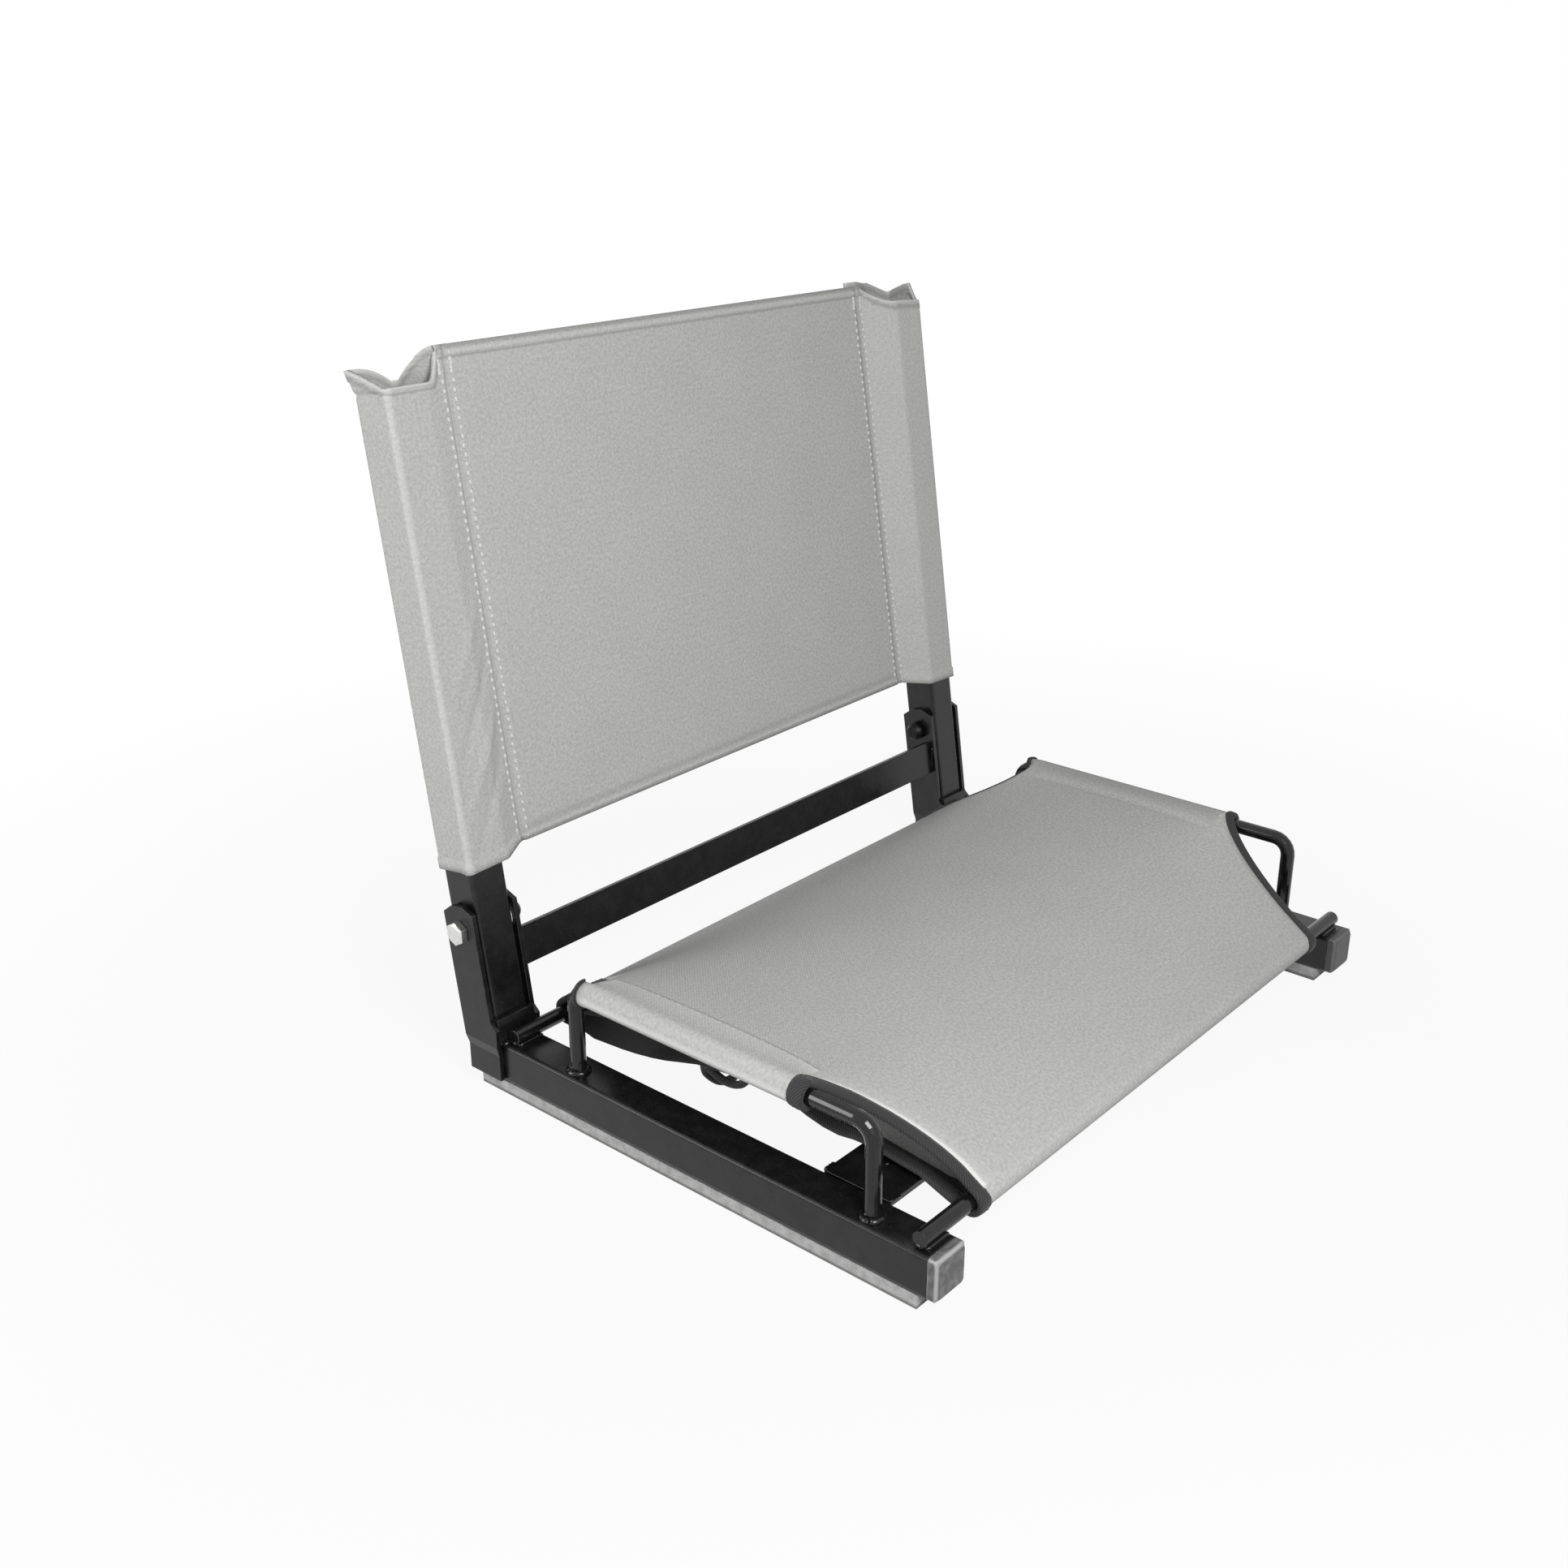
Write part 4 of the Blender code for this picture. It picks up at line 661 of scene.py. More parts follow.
# %% Rows of the flaps
def flap_rows(rod_y, inwards, length):
    """The y, z and half width of a flap's rows, from the sheet's edge round the rod to the flap's end."""
    wrap_steps = 10
    rise_steps = 3
    level_steps = 8
    level_turn = math.atan2(FLAP_Z - ROD_Z + WRAP, FLAP_RISE_RUN)
    start = math.pi / 2 + EDGE_LEAVE
    end = 1.5 * math.pi + level_turn
    rows = []
    for step in range(1, wrap_steps + 1):
        turn = start + (end - start) * step / wrap_steps
        rows.append((rod_y + inwards * WRAP * math.cos(turn), ROD_Z + WRAP * math.sin(turn), SHEET_HALF))
    leave_y, leave_z, _ = rows[-1]
    for step in range(1, rise_steps):
        share = step / rise_steps
        y = leave_y + (rod_y + inwards * FLAP_RISE_RUN - leave_y) * share
        way = abs(y - rod_y)
        rows.append((y, leave_z + (FLAP_Z - leave_z) * share, SHEET_HALF - FLAP_TAPER * way / length))
    hole = length - EYELET_INSET - EYELET / 2
    ways = [FLAP_RISE_RUN + (hole - FLAP_RISE_RUN) * step / level_steps for step in range(level_steps + 1)]
    for way in ways + [hole + EYELET, length]:
        rows.append((rod_y + inwards * way, FLAP_Z, SHEET_HALF - FLAP_TAPER * way / length))
    return rows


# How a flap's sides hang: way in from the rod in mm, droop of the side in mm, and tilt of the bound edge in
# degrees, up if positive.
FLAP_SIDES = {
    "front": ((8, 0, 0), (30, 0, 20), (75, 0, 20), (98, 3, 0), (116, 3, 0), (126, 0, 0)),
    "rear": (
        (8, 0, 0), (26, 0, -42), (45, 0, -46), (60, 0.4, -38), (80, 1.2, -18), (95, 1.0, 0), (112, 0, 0),
    ),
}
DROOP_FROM = 0.8                # share of the half width outside which a flap droops


def flap_side(end, y):
    """The droop of a flap's side, and the tilt of its bound edge."""
    way = y - FRONT_ROD_Y if end == "front" else REAR_ROD_Y - y
    ways, droops, tilts = zip(*FLAP_SIDES[end])
    return np.interp(way / MM, ways, droops) * MM, math.radians(np.interp(way / MM, ways, tilts))


front_rows = flap_rows(FRONT_ROD_Y, 1.0, FLAP_LENGTH)
rear_rows = flap_rows(REAR_ROD_Y, -1.0, REAR_FLAP_LENGTH)
print(f"{len(front_rows)} + {len(rear_rows)} rows in the flaps")

# %% Columns of the seat
SEAM_STEPS = (2.2 * MM, 4.6 * MM)   # columns beside the sleeve's seam, for its ridge
SEAM_COLUMN = 2
COLUMNS_BETWEEN = 8                 # from one eyelet to the next


def column_shares():
    """The shares of the half width at which the cloth is divided, with a cell for each eyelet."""
    shares = [-1.0]
    for index in range(EYELETS):
        middle = (index - (EYELETS - 1) / 2) * EYELET_PITCH
        start = (middle - EYELET / 2) / FLAP_END_HALF
        if index > 0:
            before = shares[-1]
            steps = range(1, COLUMNS_BETWEEN)
            shares.extend(before + (start - before) * step / COLUMNS_BETWEEN for step in steps)
        shares.extend((start, start + EYELET / FLAP_END_HALF))
    for step in SEAM_STEPS:
        beside = shares[SEAM_COLUMN] + step / SHEET_SIDE_X
        shares.extend((beside, -beside))
    return sorted(shares + [1.0])


shares = column_shares()
print(f"{len(shares)} columns")

# %% [markdown]
# ## How the seat hangs
# Between its rods the cloth is pulled tight both ways. Then the pulls balance at every point, which fixes
# its height: a saddle, low at the front and rear rods and high at the sides. The balance is one system of
# equations, solved at once. A cloth simulation would come to the same shape, more slowly.

# %% Heights of the stretched seat
TENSION_RATIO = 3.5             # crosswise pull over lengthwise pull
FRONT_TAUTNESS = 0.75           # share of the fall along a front notch that is even: its tape is taut


def edge_heights(rows, first, last):
    """Heights along the sheet's sides: level at the sleeves, then falling ever faster to the cross rods."""
    heights = [SHEET_SIDE_Z] * len(rows)
    drop = SHEET_SIDE_Z - SHEET_EDGE_Z
    for order in (range(first, -1, -1), range(last, len(rows))):
        steps = list(order)
        travel = lengths_along([Vector(rows[index]) for index in steps])
        even = FRONT_TAUTNESS if order.step < 0 else min(math.tan(SIDE_LEAVE) * travel[-1] / drop, 1.0)
        for index, way in zip(steps, travel):
            share = way / travel[-1]
            heights[index] = SHEET_SIDE_Z - drop * (even * share + (1 - even) * share ** 2)
    return heights


def stretch(rows, shares, sides):
    """The heights at which the pulls in the sheet balance, summed over the triangles of its cells."""
    places = np.array([[(share * half, y) for share in shares] for y, half in rows])
    height = np.full(places.shape[:2], SHEET_EDGE_Z)
    height[:, 0] = sides
    height[:, -1] = sides
    number = np.arange(height.size).reshape(height.shape)
    pulls = np.zeros((height.size, height.size))
    for row in range(len(rows) - 1):
        for col in range(len(shares) - 1):
            cell = ((row, col), (row, col + 1), (row + 1, col + 1), (row + 1, col))
            for corners in ((0, 1, 2), (0, 2, 3), (0, 1, 3), (1, 2, 3)):
                a, b, c = (places[cell[corner]] for corner in corners)
                twice_area = (b[0] - a[0]) * (c[1] - a[1]) - (c[0] - a[0]) * (b[1] - a[1])
                slope_x = np.array((b[1] - c[1], c[1] - a[1], a[1] - b[1])) / twice_area
                slope_y = np.array((c[0] - b[0], a[0] - c[0], b[0] - a[0])) / twice_area
                pull = TENSION_RATIO * np.outer(slope_x, slope_x) + np.outer(slope_y, slope_y)
                ids = [number[cell[corner]] for corner in corners]
                pulls[np.ix_(ids, ids)] += pull * abs(twice_area) / 4
    free = number[1:-1, 1:-1].ravel()
    held = np.setdiff1d(number.ravel(), free)
    given = -pulls[np.ix_(free, held)] @ height.ravel()[held]
    height[1:-1, 1:-1] = np.linalg.solve(pulls[np.ix_(free, free)], given).reshape(len(rows) - 2, -1)
    return height


seat_heights = stretch(over_rows, shares, edge_heights(over_rows, first_sleeve, last_sleeve))
print(f"seat from {seat_heights.min() / MM:.1f} to {seat_heights.max() / MM:.1f} mm high")

# %% [markdown]
# ## Sew the seat
# The grid has extra columns on both sides for the sleeves. Where there is no sleeve their vertices are
# deleted, and so are the cells of the eyelets. The bound edges are grown with an extrude, which keeps the
# cloth in one piece under the tape.

# %% Line of a side sleeve
WRAP_COLUMNS = 15               # columns round a side rod
RETURN_COLUMNS = 5              # and from there to past the seam
SLEEVE_TUCK = math.radians(20.0)    # how far past the rod's lowest point the cloth leaves it


def sleeve_line(side, y, half, row_heights):
    """The points of a side sleeve, from beside the sheet's edge round the rod to past the seam."""
    points = []
    end = math.pi + SLEEVE_TUCK
    for step in range(1, WRAP_COLUMNS + 1):
        turn = -SIDE_LEAVE + (end + SIDE_LEAVE) * step / WRAP_COLUMNS
        x = SEAT_ROD_X + WRAP * math.sin(turn)
        points.append(Vector((side * x, y, SEAT_ROD_Z + WRAP * math.cos(turn))))
    leave = points[-1]
    reach = SIDE_SEAM + SEAM_ALLOWANCE
    xs = [share * half for share in shares]
    for step in range(1, RETURN_COLUMNS + 1):
        share = step / RETURN_COLUMNS
        x = abs(leave.x) + (SEAT_ROD_X - reach - abs(leave.x)) * share
        sewn = np.interp(x, xs, row_heights) - CLOTH - FIT
        eased = 1 - (1 - share) ** 2
        points.append(Vector((side * x, y, leave.z + (sewn - leave.z) * eased)))
    return points


# %% Place the seat's cloth
RIM_COLUMN = 7                  # outermost column of a sleeve, with a painted highlight at the left
RIM_HIGHLIGHT = 0.8
SEAM_HIGHLIGHT_AND_SHADE = (0.55, -0.3)      # painted highlight on the seam's column and painted shade on the one beside it
UNDER_SHADE = -0.9             # painted shade on the lower side of the left sleeve
FAR_SLEEVE_SHADE = -0.25       # painted shade on the right sleeve
SEAM_RIDGE = (0.9 * MM, -0.5 * MM, -0.15 * MM)      # heights of the seam's column and the two beside it
side_columns = WRAP_COLUMNS + RETURN_COLUMNS
front_count = len(front_rows)
row_count = front_count + len(over_rows) + len(rear_rows)
seat_bm, seat_grid = cloth_grid(len(shares) + 2 * side_columns, row_count)
loose = []
seat_painted_light = {}
for row in range(row_count):
    sheet_row = row - front_count
    if 0 <= sheet_row < len(over_rows):
        y, half = over_rows[sheet_row]
        row_heights = seat_heights[sheet_row].copy()
        sewn = min(sheet_row - first_sleeve, last_sleeve - sheet_row, 2) / 2
        for step, rise in enumerate(SEAM_RIDGE):
            for column in (SEAM_COLUMN + step, -1 - SEAM_COLUMN - step):
                row_heights[column] += rise * max(sewn, 0.0)
    else:
        y, z, half = front_rows[-1 - row] if sheet_row < 0 else rear_rows[sheet_row - len(over_rows)]
        droop, _ = flap_side("front" if sheet_row < 0 else "rear", y)
        outer = [max((abs(share) - DROOP_FROM) / (1 - DROOP_FROM), 0.0) for share in shares]
        row_heights = [z - droop * share ** 2 for share in outer]
    for share, z, vert in zip(shares, row_heights, seat_grid[row][side_columns:]):
        vert.co = (share * half, y, z)
    left_verts = seat_grid[row][side_columns - 1::-1]
    right_verts = seat_grid[row][side_columns + len(shares):]
    if first_sleeve <= sheet_row <= last_sleeve:
        for side, verts in ((-1.0, left_verts), (1.0, right_verts)):
            for column, (vert, point) in enumerate(zip(verts, sleeve_line(side, y, half, row_heights))):
                vert.co = point
                # Painted highlight on the left sleeve's rim and painted shade under it; painted shade on the
                # right sleeve.
                rim = RIM_HIGHLIGHT * max(1 - abs(column - RIM_COLUMN) / 2, 0.0)
                under = UNDER_SHADE * min(max(column - RIM_COLUMN - 2, 0) / 2, 1.0)
                seat_painted_light[vert] = rim + under if side < 0 else FAR_SLEEVE_SHADE
        # Painted highlight on the left seam's ridge and painted shade beside it.
        for step, share in enumerate(SEAM_HIGHLIGHT_AND_SHADE):
            seat_painted_light[seat_grid[row][side_columns + SEAM_COLUMN + step]] = share
        for column in range(SEAM_COLUMN):
            seat_painted_light[seat_grid[row][side_columns + len(shares) - 1 - column]] = FAR_SLEEVE_SHADE
    else:
        loose.extend(left_verts + right_verts)
print(f"{row_count} rows of {len(seat_grid[0])} columns, {len(loose)} crossings cut away")

# %% Lay the seat flat and cut its eyelets
centre = side_columns + len(shares) // 2
middle_way = lengths_along([row[centre].co for row in seat_grid])
seat_flat = {}
for row, way in zip(seat_grid, middle_way):
    across = lengths_along([vert.co for vert in row])
    for vert, reach in zip(row, across):
        seat_flat[vert] = Vector((reach - across[centre], way))
bmesh.ops.delete(seat_bm, geom=loose, context="VERTS")
hole_rows = ((1, 2), (row_count - 2, row_count - 3))
holes = []
for face in seat_bm.faces:
    middle = face.calc_center_median()
    for outer_row, inner_row in hole_rows:
        ys = sorted((seat_grid[outer_row][centre].co.y, seat_grid[inner_row][centre].co.y))
        if abs(middle.z - FLAP_Z) < FIT and ys[0] < middle.y < ys[1]:
            place = middle.x / EYELET_PITCH + (EYELETS - 1) / 2
            if abs(place - round(place)) * EYELET_PITCH < EYELET / 4 and -0.5 < place < EYELETS - 0.5:
                holes.append(face)
bmesh.ops.delete(seat_bm, geom=holes, context="FACES_ONLY")
bmesh.ops.recalc_face_normals(seat_bm, faces=seat_bm.faces[:])
seat_bm.normal_update()
middle_vert = seat_grid[front_count + len(over_rows) // 2][centre]
if middle_vert.normal.z < 0:
    bmesh.ops.reverse_faces(seat_bm, faces=seat_bm.faces[:])
    seat_bm.normal_update()
print(f"seat cloth: {len(seat_bm.faces)} faces, {len(holes)} eyelets")

# %% [markdown]
# ## Edges for the tape
# The tape needs cloth to hold, so each cut edge is extruded by the tape's width. Along the rear notches and
# the flaps the edge hangs down or stands up, which its tilt says.

# %% Tilt of the bound edges
ROD_BEND = 11.0 * MM            # radius of the side rods' bends
TILT_GROWTH = 0.55              # the tape lies wider where it is turned up or down
NOTCH_TILT = math.radians(-55.0)
TILT_ENDS = 18                  # rows past the sleeve where the tilt is over
TILT_FADES = 6                  # and over how many it fades


def rod_drop(point):
    """How far a side rod has bent down beside a point of its sleeve."""
    if abs(point.x) < SHEET_SIDE_X - TAPE_WIDTH:
        return 0.0
    way = min(max(point.y - REAR_POST_Y + ROD_BEND, 0.0), ROD_BEND)
    return ROD_BEND - math.sqrt(ROD_BEND ** 2 - way ** 2)


def notch_tilt(end, past_sleeve):
    """The tilt of a bound notch edge: at the rear it hangs down, most in the middle of the notch."""
    if end == "front":
        return 0.0
    return NOTCH_TILT * min((past_sleeve + 1) / 2, max(TILT_ENDS - past_sleeve, 0) / TILT_FADES, 1.0)


def grow_edge(bm, path, tilts, width, flat_places):
    """Extrudes a line of edge vertices outwards, or tilted, and returns the new vertices."""
    outwards = []
    outside = 0.0
    for index, vert in enumerate(path):
        before = path[max(index - 1, 0)]
        after = path[min(index + 1, len(path) - 1)]
        run = (after.co - vert.co).normalized() + (vert.co - before.co).normalized()
        away = run.cross(vert.normal)
        away = Vector((away.x, away.y, 0)).normalized()
        outwards.append(away)
        outside += sum(away.dot(vert.co - face.calc_center_median()) for face in vert.link_faces)
    if outside < 0:
        outwards = [-away for away in outwards]
    edges = []
    for near, far in zip(path, path[1:]):
        edges.append(bm.edges.get((near, far)))
    made = bmesh.ops.extrude_edge_only(bm, edges=edges)["geom"]
    new_verts = {item for item in made if isinstance(item, bmesh.types.BMVert)}
    grown = []
    for vert, away, tilt in zip(path, outwards, tilts):
        twin = next(link.other_vert(vert) for link in vert.link_edges if link.other_vert(vert) in new_verts)
        wide = width * (1 + TILT_GROWTH * abs(math.sin(tilt)))
        twin.co = vert.co + (away * math.cos(tilt) + Vector((0, 0, math.sin(tilt)))) * wide
        twin.co.z -= rod_drop(twin.co)
        flat_places[twin] = flat_places[vert] + Vector((math.copysign(wide, vert.co.x), 0))
        grown.append(twin)
    return grown


# %% Grow the bound edges
FOLD_OUT = 0.5 * MM             # how far the tape's fold stands out past the cloth
NOTCH_HIGHLIGHT = (0.9, 0.1)       # painted highlight on the fold of the canvas beside the left front tape, column by column
NOTCH_HIGHLIGHT_GROWS = 4             # rows past the sleeve over which that comes on
first_row = front_count + first_sleeve
last_row = front_count + last_sleeve
ends = (
    ("front", first_row, range(first_row, -1, -1)),
    ("rear", last_row, range(last_row, row_count)),
)
paths = {}
for label, side in SIDES:
    edge_column = side_columns if side < 0 else side_columns + len(shares) - 1
    if side < 0:
        wrap_columns = range(edge_column - WRAP_COLUMNS, edge_column)
    else:
        wrap_columns = range(edge_column + WRAP_COLUMNS, edge_column, -1)
    for end, row, rows in ends:
        verts = [seat_grid[row][column] for column in wrap_columns]
        tilts = [0.0] * len(verts)
        for index in rows:
            vert = seat_grid[index][edge_column]
            on_sheet = 0 <= index - front_count < len(over_rows)
            past_sleeve = abs(index - row)
            verts.append(vert)
            tilts.append(notch_tilt(end, past_sleeve) if on_sheet else flap_side(end, vert.co.y)[1])
            if on_sheet and label == "left" and end == "front":
                grows = min(past_sleeve / NOTCH_HIGHLIGHT_GROWS, 1.0)
                for step, share in enumerate(NOTCH_HIGHLIGHT):
                    seat_painted_light[seat_grid[index][edge_column + step]] = share * grows
        paths[f"{label}_{end}"] = (verts, tilts)
grown_edges = {}
for corner, (path, tilts) in paths.items():
    grown_edges[corner] = grow_edge(seat_bm, path, tilts, TAPE_WIDTH - FOLD_OUT, seat_flat)
seat_bm.normal_update()
tape_stations = {}
for corner, (path, _) in paths.items():
    stations = []
    for vert, twin in zip(path, grown_edges[corner]):
        stations.append((vert.co.copy(), vert.normal.copy(), twin.co.copy(), twin.normal.copy()))
    tape_stations[corner] = stations
print(f"bound edges: {', '.join(tape_stations)}")

# %% Measure and finish the seat
seat_rows_kept = []
for row in seat_grid:
    kept = [(vert.co.copy(), vert.normal.copy()) if vert.is_valid else None for vert in row]
    seat_rows_kept.append(kept)
seat_area = sum(face.calc_area() for face in seat_bm.faces)
lay_out(seat_bm, seat_flat)
seat_painted_light = {vert: share for vert, share in seat_painted_light.items() if vert.is_valid}
seat = finish_piece("seat_cloth", seat_bm, canvas, "base", CLOTH, painted_light_and_tone=seat_painted_light)
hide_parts("seat_sling")

# %% [markdown]
# ## Bind the corners
# A binding is a tape folded lengthwise over a cut edge and sewn through. Its section is a narrow U, which
# follows the edge of the seat from the sleeve, down the curve of the notch, round the cross rod and along
# the flap. It is a grid too: stations along the edge, and the points of the U across it.

# %% Section of the tape
FOLD_FROM = 0.95                # share of the tape's width where its fold begins
FOLD_TURNS = (60, 30, 0, -30, -60)
TAPE_SWELL = 0.25 * MM          # between its stitches and its fold
TAPE_PRESSED = 0.3 * MM         # at its inner edge
SHADE_FACING_STEPS = 4


def fold_section(facing):
    """The U of the tape: the share of the way from the inner line to the edge, and the height.

    The lower leg may go on inwards as a dark facing, by a share of the tape's width, that stands in for
    shade.
    """
    lift = CLOTH / 2 + FIT + TAPE_THICK / 2
    leg = [(0.0, lift - TAPE_PRESSED), (0.25, lift), (0.6, lift + TAPE_SWELL), (FOLD_FROM, lift)]
    fold = []
    for degrees in FOLD_TURNS:
        turn = math.radians(degrees)
        fold.append((FOLD_FROM + lift * math.cos(turn) / TAPE_WIDTH, lift * math.sin(turn)))
    under = [(share, -height) for share, height in leg[::-1]]
    under.extend((-facing * step / SHADE_FACING_STEPS, -lift) for step in range(1, SHADE_FACING_STEPS + 1))
    return leg + fold + under


# %% Fold the tape over the edges
# The share of the tape's width that lies under the canvas, by stations along the notch from the sleeve.
COVERS = {
    "left_front": ((2, 0.0), (8, 0.35), (19, 0.35), (23, 0.0)),
    "right_front": ((16, 0.5), (22, 0.0)),
    "left_rear": ((10, 0.85), (16, 0.0)),
    "right_rear": ((0, 0.7), (5, 0.0)),
}
FRONT_SHADE_FACING = 1.3              # dark tape under the front notches that stands in for the shade there, as a share of the tape's width
REAR_SHADE_FACING = 0.1


def covered_share(corner, station):
    """The share of the tape's width that the canvas covers at a station."""
    stations, shares_covered = zip(*COVERS[corner])
    return np.interp(station - WRAP_COLUMNS, stations, shares_covered)


for corner, stations in tape_stations.items():
    section = fold_section(FRONT_SHADE_FACING if corner.endswith("front") else REAR_SHADE_FACING)
    bm, grid = cloth_grid(len(section), len(stations))
    flat_places = {}
    way = lengths_along([(station[0] + station[2]) / 2 for station in stations])
    for row, (inner, inner_normal, edge, edge_normal) in enumerate(stations):
        covered = covered_share(corner, row)
        for vert, (across_share, height) in zip(grid[row], section):
            share = max(covered, across_share) if height > 0 else across_share
            normal = inner_normal.lerp(edge_normal, min(share, 1.0)).normalized()
            vert.co = inner + (edge - inner) * share + normal * height
        across = lengths_along([vert.co for vert in grid[row]])
        for vert, reach in zip(grid[row], across):
            flat_places[vert] = Vector((reach, way[row]))
    bmesh.ops.recalc_face_normals(bm, faces=bm.faces[:])
    lay_out(bm, flat_places)
    binding = finish_piece(f"{corner}_tape", bm, tape, "base", TAPE_THICK)
    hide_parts(f"{corner}_binding")
    print(f"{binding.name}: {way[-1] / MM:.0f} mm of tape")

# %% [markdown]
# ## The back
# The back is a panel whose two ends are turned back round the uprights and sewn down, so that each end is a
# sleeve open at both ends. Seen from above, its line runs from the left rear seam round the left upright,
# across the panel and round the right upright. Above the uprights nothing fills the sleeves, so they flop.

# %% Lines of the back
SLING_BOTTOM = 42.0 * MM            # lower edge of the panel, along the uprights from the pivot
SLEEVE_BOTTOM = 37.4 * MM           # and of the sleeves
CORNER_DROP = 1.0 * MM              # how much lower a sleeve's front outer corner hangs
PANEL_RISE = 27.0 * MM              # top of the panel above the uprights
SEAM_ROW_GAP = 7.5 * MM             # between the two rows of stitches of a seam
END_ALLOWANCE = 3.0 * MM            # cloth past the second row
FACE_POINT = 6.0 * MM               # behind the front, where a sleeve's outer face has a height of its own
SLEEVE_HALF = TUBE / 2 + SLEEVE_PLAY + CLOTH / 2
# Lower and upper end of each seam, inwards of its upright's middle and behind it. The left sleeve has
# turned on its upright, so that its seam lies nearly in line with the upright's front.
SEAM_ENDS = {
    "left": (Vector((29.4 * MM, -8.0 * MM)), Vector((26.5 * MM, -12.0 * MM))),
    "right": (Vector((33.2 * MM, 0.0)), Vector((38.8 * MM, 0.0))),
}
# Height of the cloth above the upright at the rear seam, the rear corners (inner, outer), on the outer face,
# at the front corners (outer, inner) and at the front seam, with how the height changes up to there.
SLEEVE_TOPS = {
    "left": ((27.0, 1), (10.5, 1.6), (19.5, -2), (10.5, 1), (8.0, 1), (8.0, 1), (27.0, 2)),
    "right": ((30.0, 1), (28.0, 1), (19.8, 1), (24.4, -1.5), (12.0, 1), (13.5, 1), (27.0, 1.5)),
}


# %% Corners of the sleeves
def lean(x, along, behind):
    """A point of the back, given along the uprights from the pivot and behind them."""
    y = PIVOT.y + along * math.sin(RECLINE) + behind * math.cos(RECLINE)
    z = PIVOT.z + along * math.cos(RECLINE) - behind * math.sin(RECLINE)
    return Vector((x, y, z))


def ease(share, power):
    """A share that starts slowly, or with a negative power one that ends slowly."""
    return share ** power if power > 0 else 1 - (1 - share) ** -power


def sleeve_corners(label, tall):
    """Corners of a sleeve's line from the rear seam to the front one: place, fold radius, steps, bottom."""
    low, high = SEAM_ENDS[label]
    seam, behind = low.lerp(high, tall)
    half = SLEEVE_HALF
    layer = CLOTH + FIT
    return (
        ((-seam - SEAM_ROW_GAP - END_ALLOWANCE, behind + layer), 0.0, 1, SLING_BOTTOM),
        ((-seam, behind + layer), 0.0, 5, SLING_BOTTOM),
        ((-half, half), 3.0 * MM, 9, SLEEVE_BOTTOM),
        ((half, half), 2.4 * MM, 8, SLEEVE_BOTTOM),
        ((half, FACE_POINT - half), 0.0, 7, SLEEVE_BOTTOM),
        ((half, -half), 2.0 * MM, 3, SLEEVE_BOTTOM - CORNER_DROP),
        ((-half, -half), 1.6 * MM, 16, SLEEVE_BOTTOM),
        ((-seam, behind), 0.0, 9, SLING_BOTTOM),
    )


# %% Points round a sleeve
def sleeve_points(label, tall):
    """Points of a sleeve's line with the top and bottom heights there; folds are rounded."""
    corners = sleeve_corners(label, tall)
    tops = SLEEVE_TOPS[label][:1] + SLEEVE_TOPS[label]
    line = []
    for index, (place, radius, steps, bottom) in enumerate(corners):
        here = Vector(place)
        rise, power = tops[index]
        if index == 0:
            line.append((here, rise * MM, bottom))
            continue
        last_place, last_radius, _, last_bottom = corners[index - 1]
        last_rise = tops[index - 1][0]
        start = Vector(last_place)
        run = (here - start).normalized()
        begin = start + run * last_radius
        finish = here - run * radius
        for step in range(1, steps + 1):
            share = step / steps
            top = last_rise + (rise - last_rise) * ease(share, power)
            line.append((begin.lerp(finish, share), top * MM, last_bottom + (bottom - last_bottom) * share))
        if radius > 0:
            onwards = (Vector(corners[index + 1][0]) - here).normalized()
            leave = here + onwards * radius
            for share in (0.25, 0.5, 0.75, 1.0):
                point = finish.lerp(here, share).lerp(here.lerp(leave, share), share)
                line.append((point, rise * MM, bottom))
    return line


sleeve_count = len(sleeve_points("left", 0.0))
print(f"{sleeve_count} points round a sleeve")

# %% [markdown]
# ## How the back hangs
# Above the uprights the sleeves' outer faces flare, are pinched where the upright ends, and lean back. Low
# down the left one is slack, with a few slanting creases. The panel bellies back a little, and the cloth is
# sunk between the two rows of stitches of each seam.

# %% Slack of the sleeves
FREE_LEVEL = UPRIGHT_TOP + 3.5 * MM     # from here up nothing fills the sleeves
FLOP_HEIGHT = 16.0 * MM                 # height over which the flop comes on
FLARE = {"left": 3.6 * MM, "right": 0.8 * MM}
PINCH = {"left": 1.5 * MM, "right": 0.5 * MM}
PINCH_HEIGHT = 2.4 * MM
FACE_ROUND = 3.0 * MM                   # beside a sleeve's outer face, what still counts as that face
LEAN_FRONT = 2.0 * MM
LEAN_REAR = 1.0 * MM
CREASES = ((80.0, -1.2), (106.0, 1.7), (135.0, -1.5), (171.0, 1.0))     # height and depth in mm
CREASE_SLANT = 1.75
CREASE_WIDE = 6.5 * MM
CREASE_FADES_OUT = 18.0 * MM            # towards the outer fold, which it keeps clear of
CREASE_FADES_IN = 10.0 * MM             # and towards the seam
FOLD_CLEAR = 2.0 * MM


def sleeve_flop(label, point, over):
    """How a sleeve's cloth moves where no upright fills it; over is the height above the upright."""
    share = min(over / FLOP_HEIGHT, 1.0)
    out = 0.0
    if point.x > SLEEVE_HALF - FACE_ROUND:
        rear = (point.y + SLEEVE_HALF) / (2 * SLEEVE_HALF)
        pinched = max(1 - abs(over - PINCH_HEIGHT) / PINCH_HEIGHT, 0.0)
        out = FLARE[label] * share * rear - PINCH[label] * pinched
    back = LEAN_FRONT if point.y < 0 else LEAN_REAR
    return Vector((out, back * share))


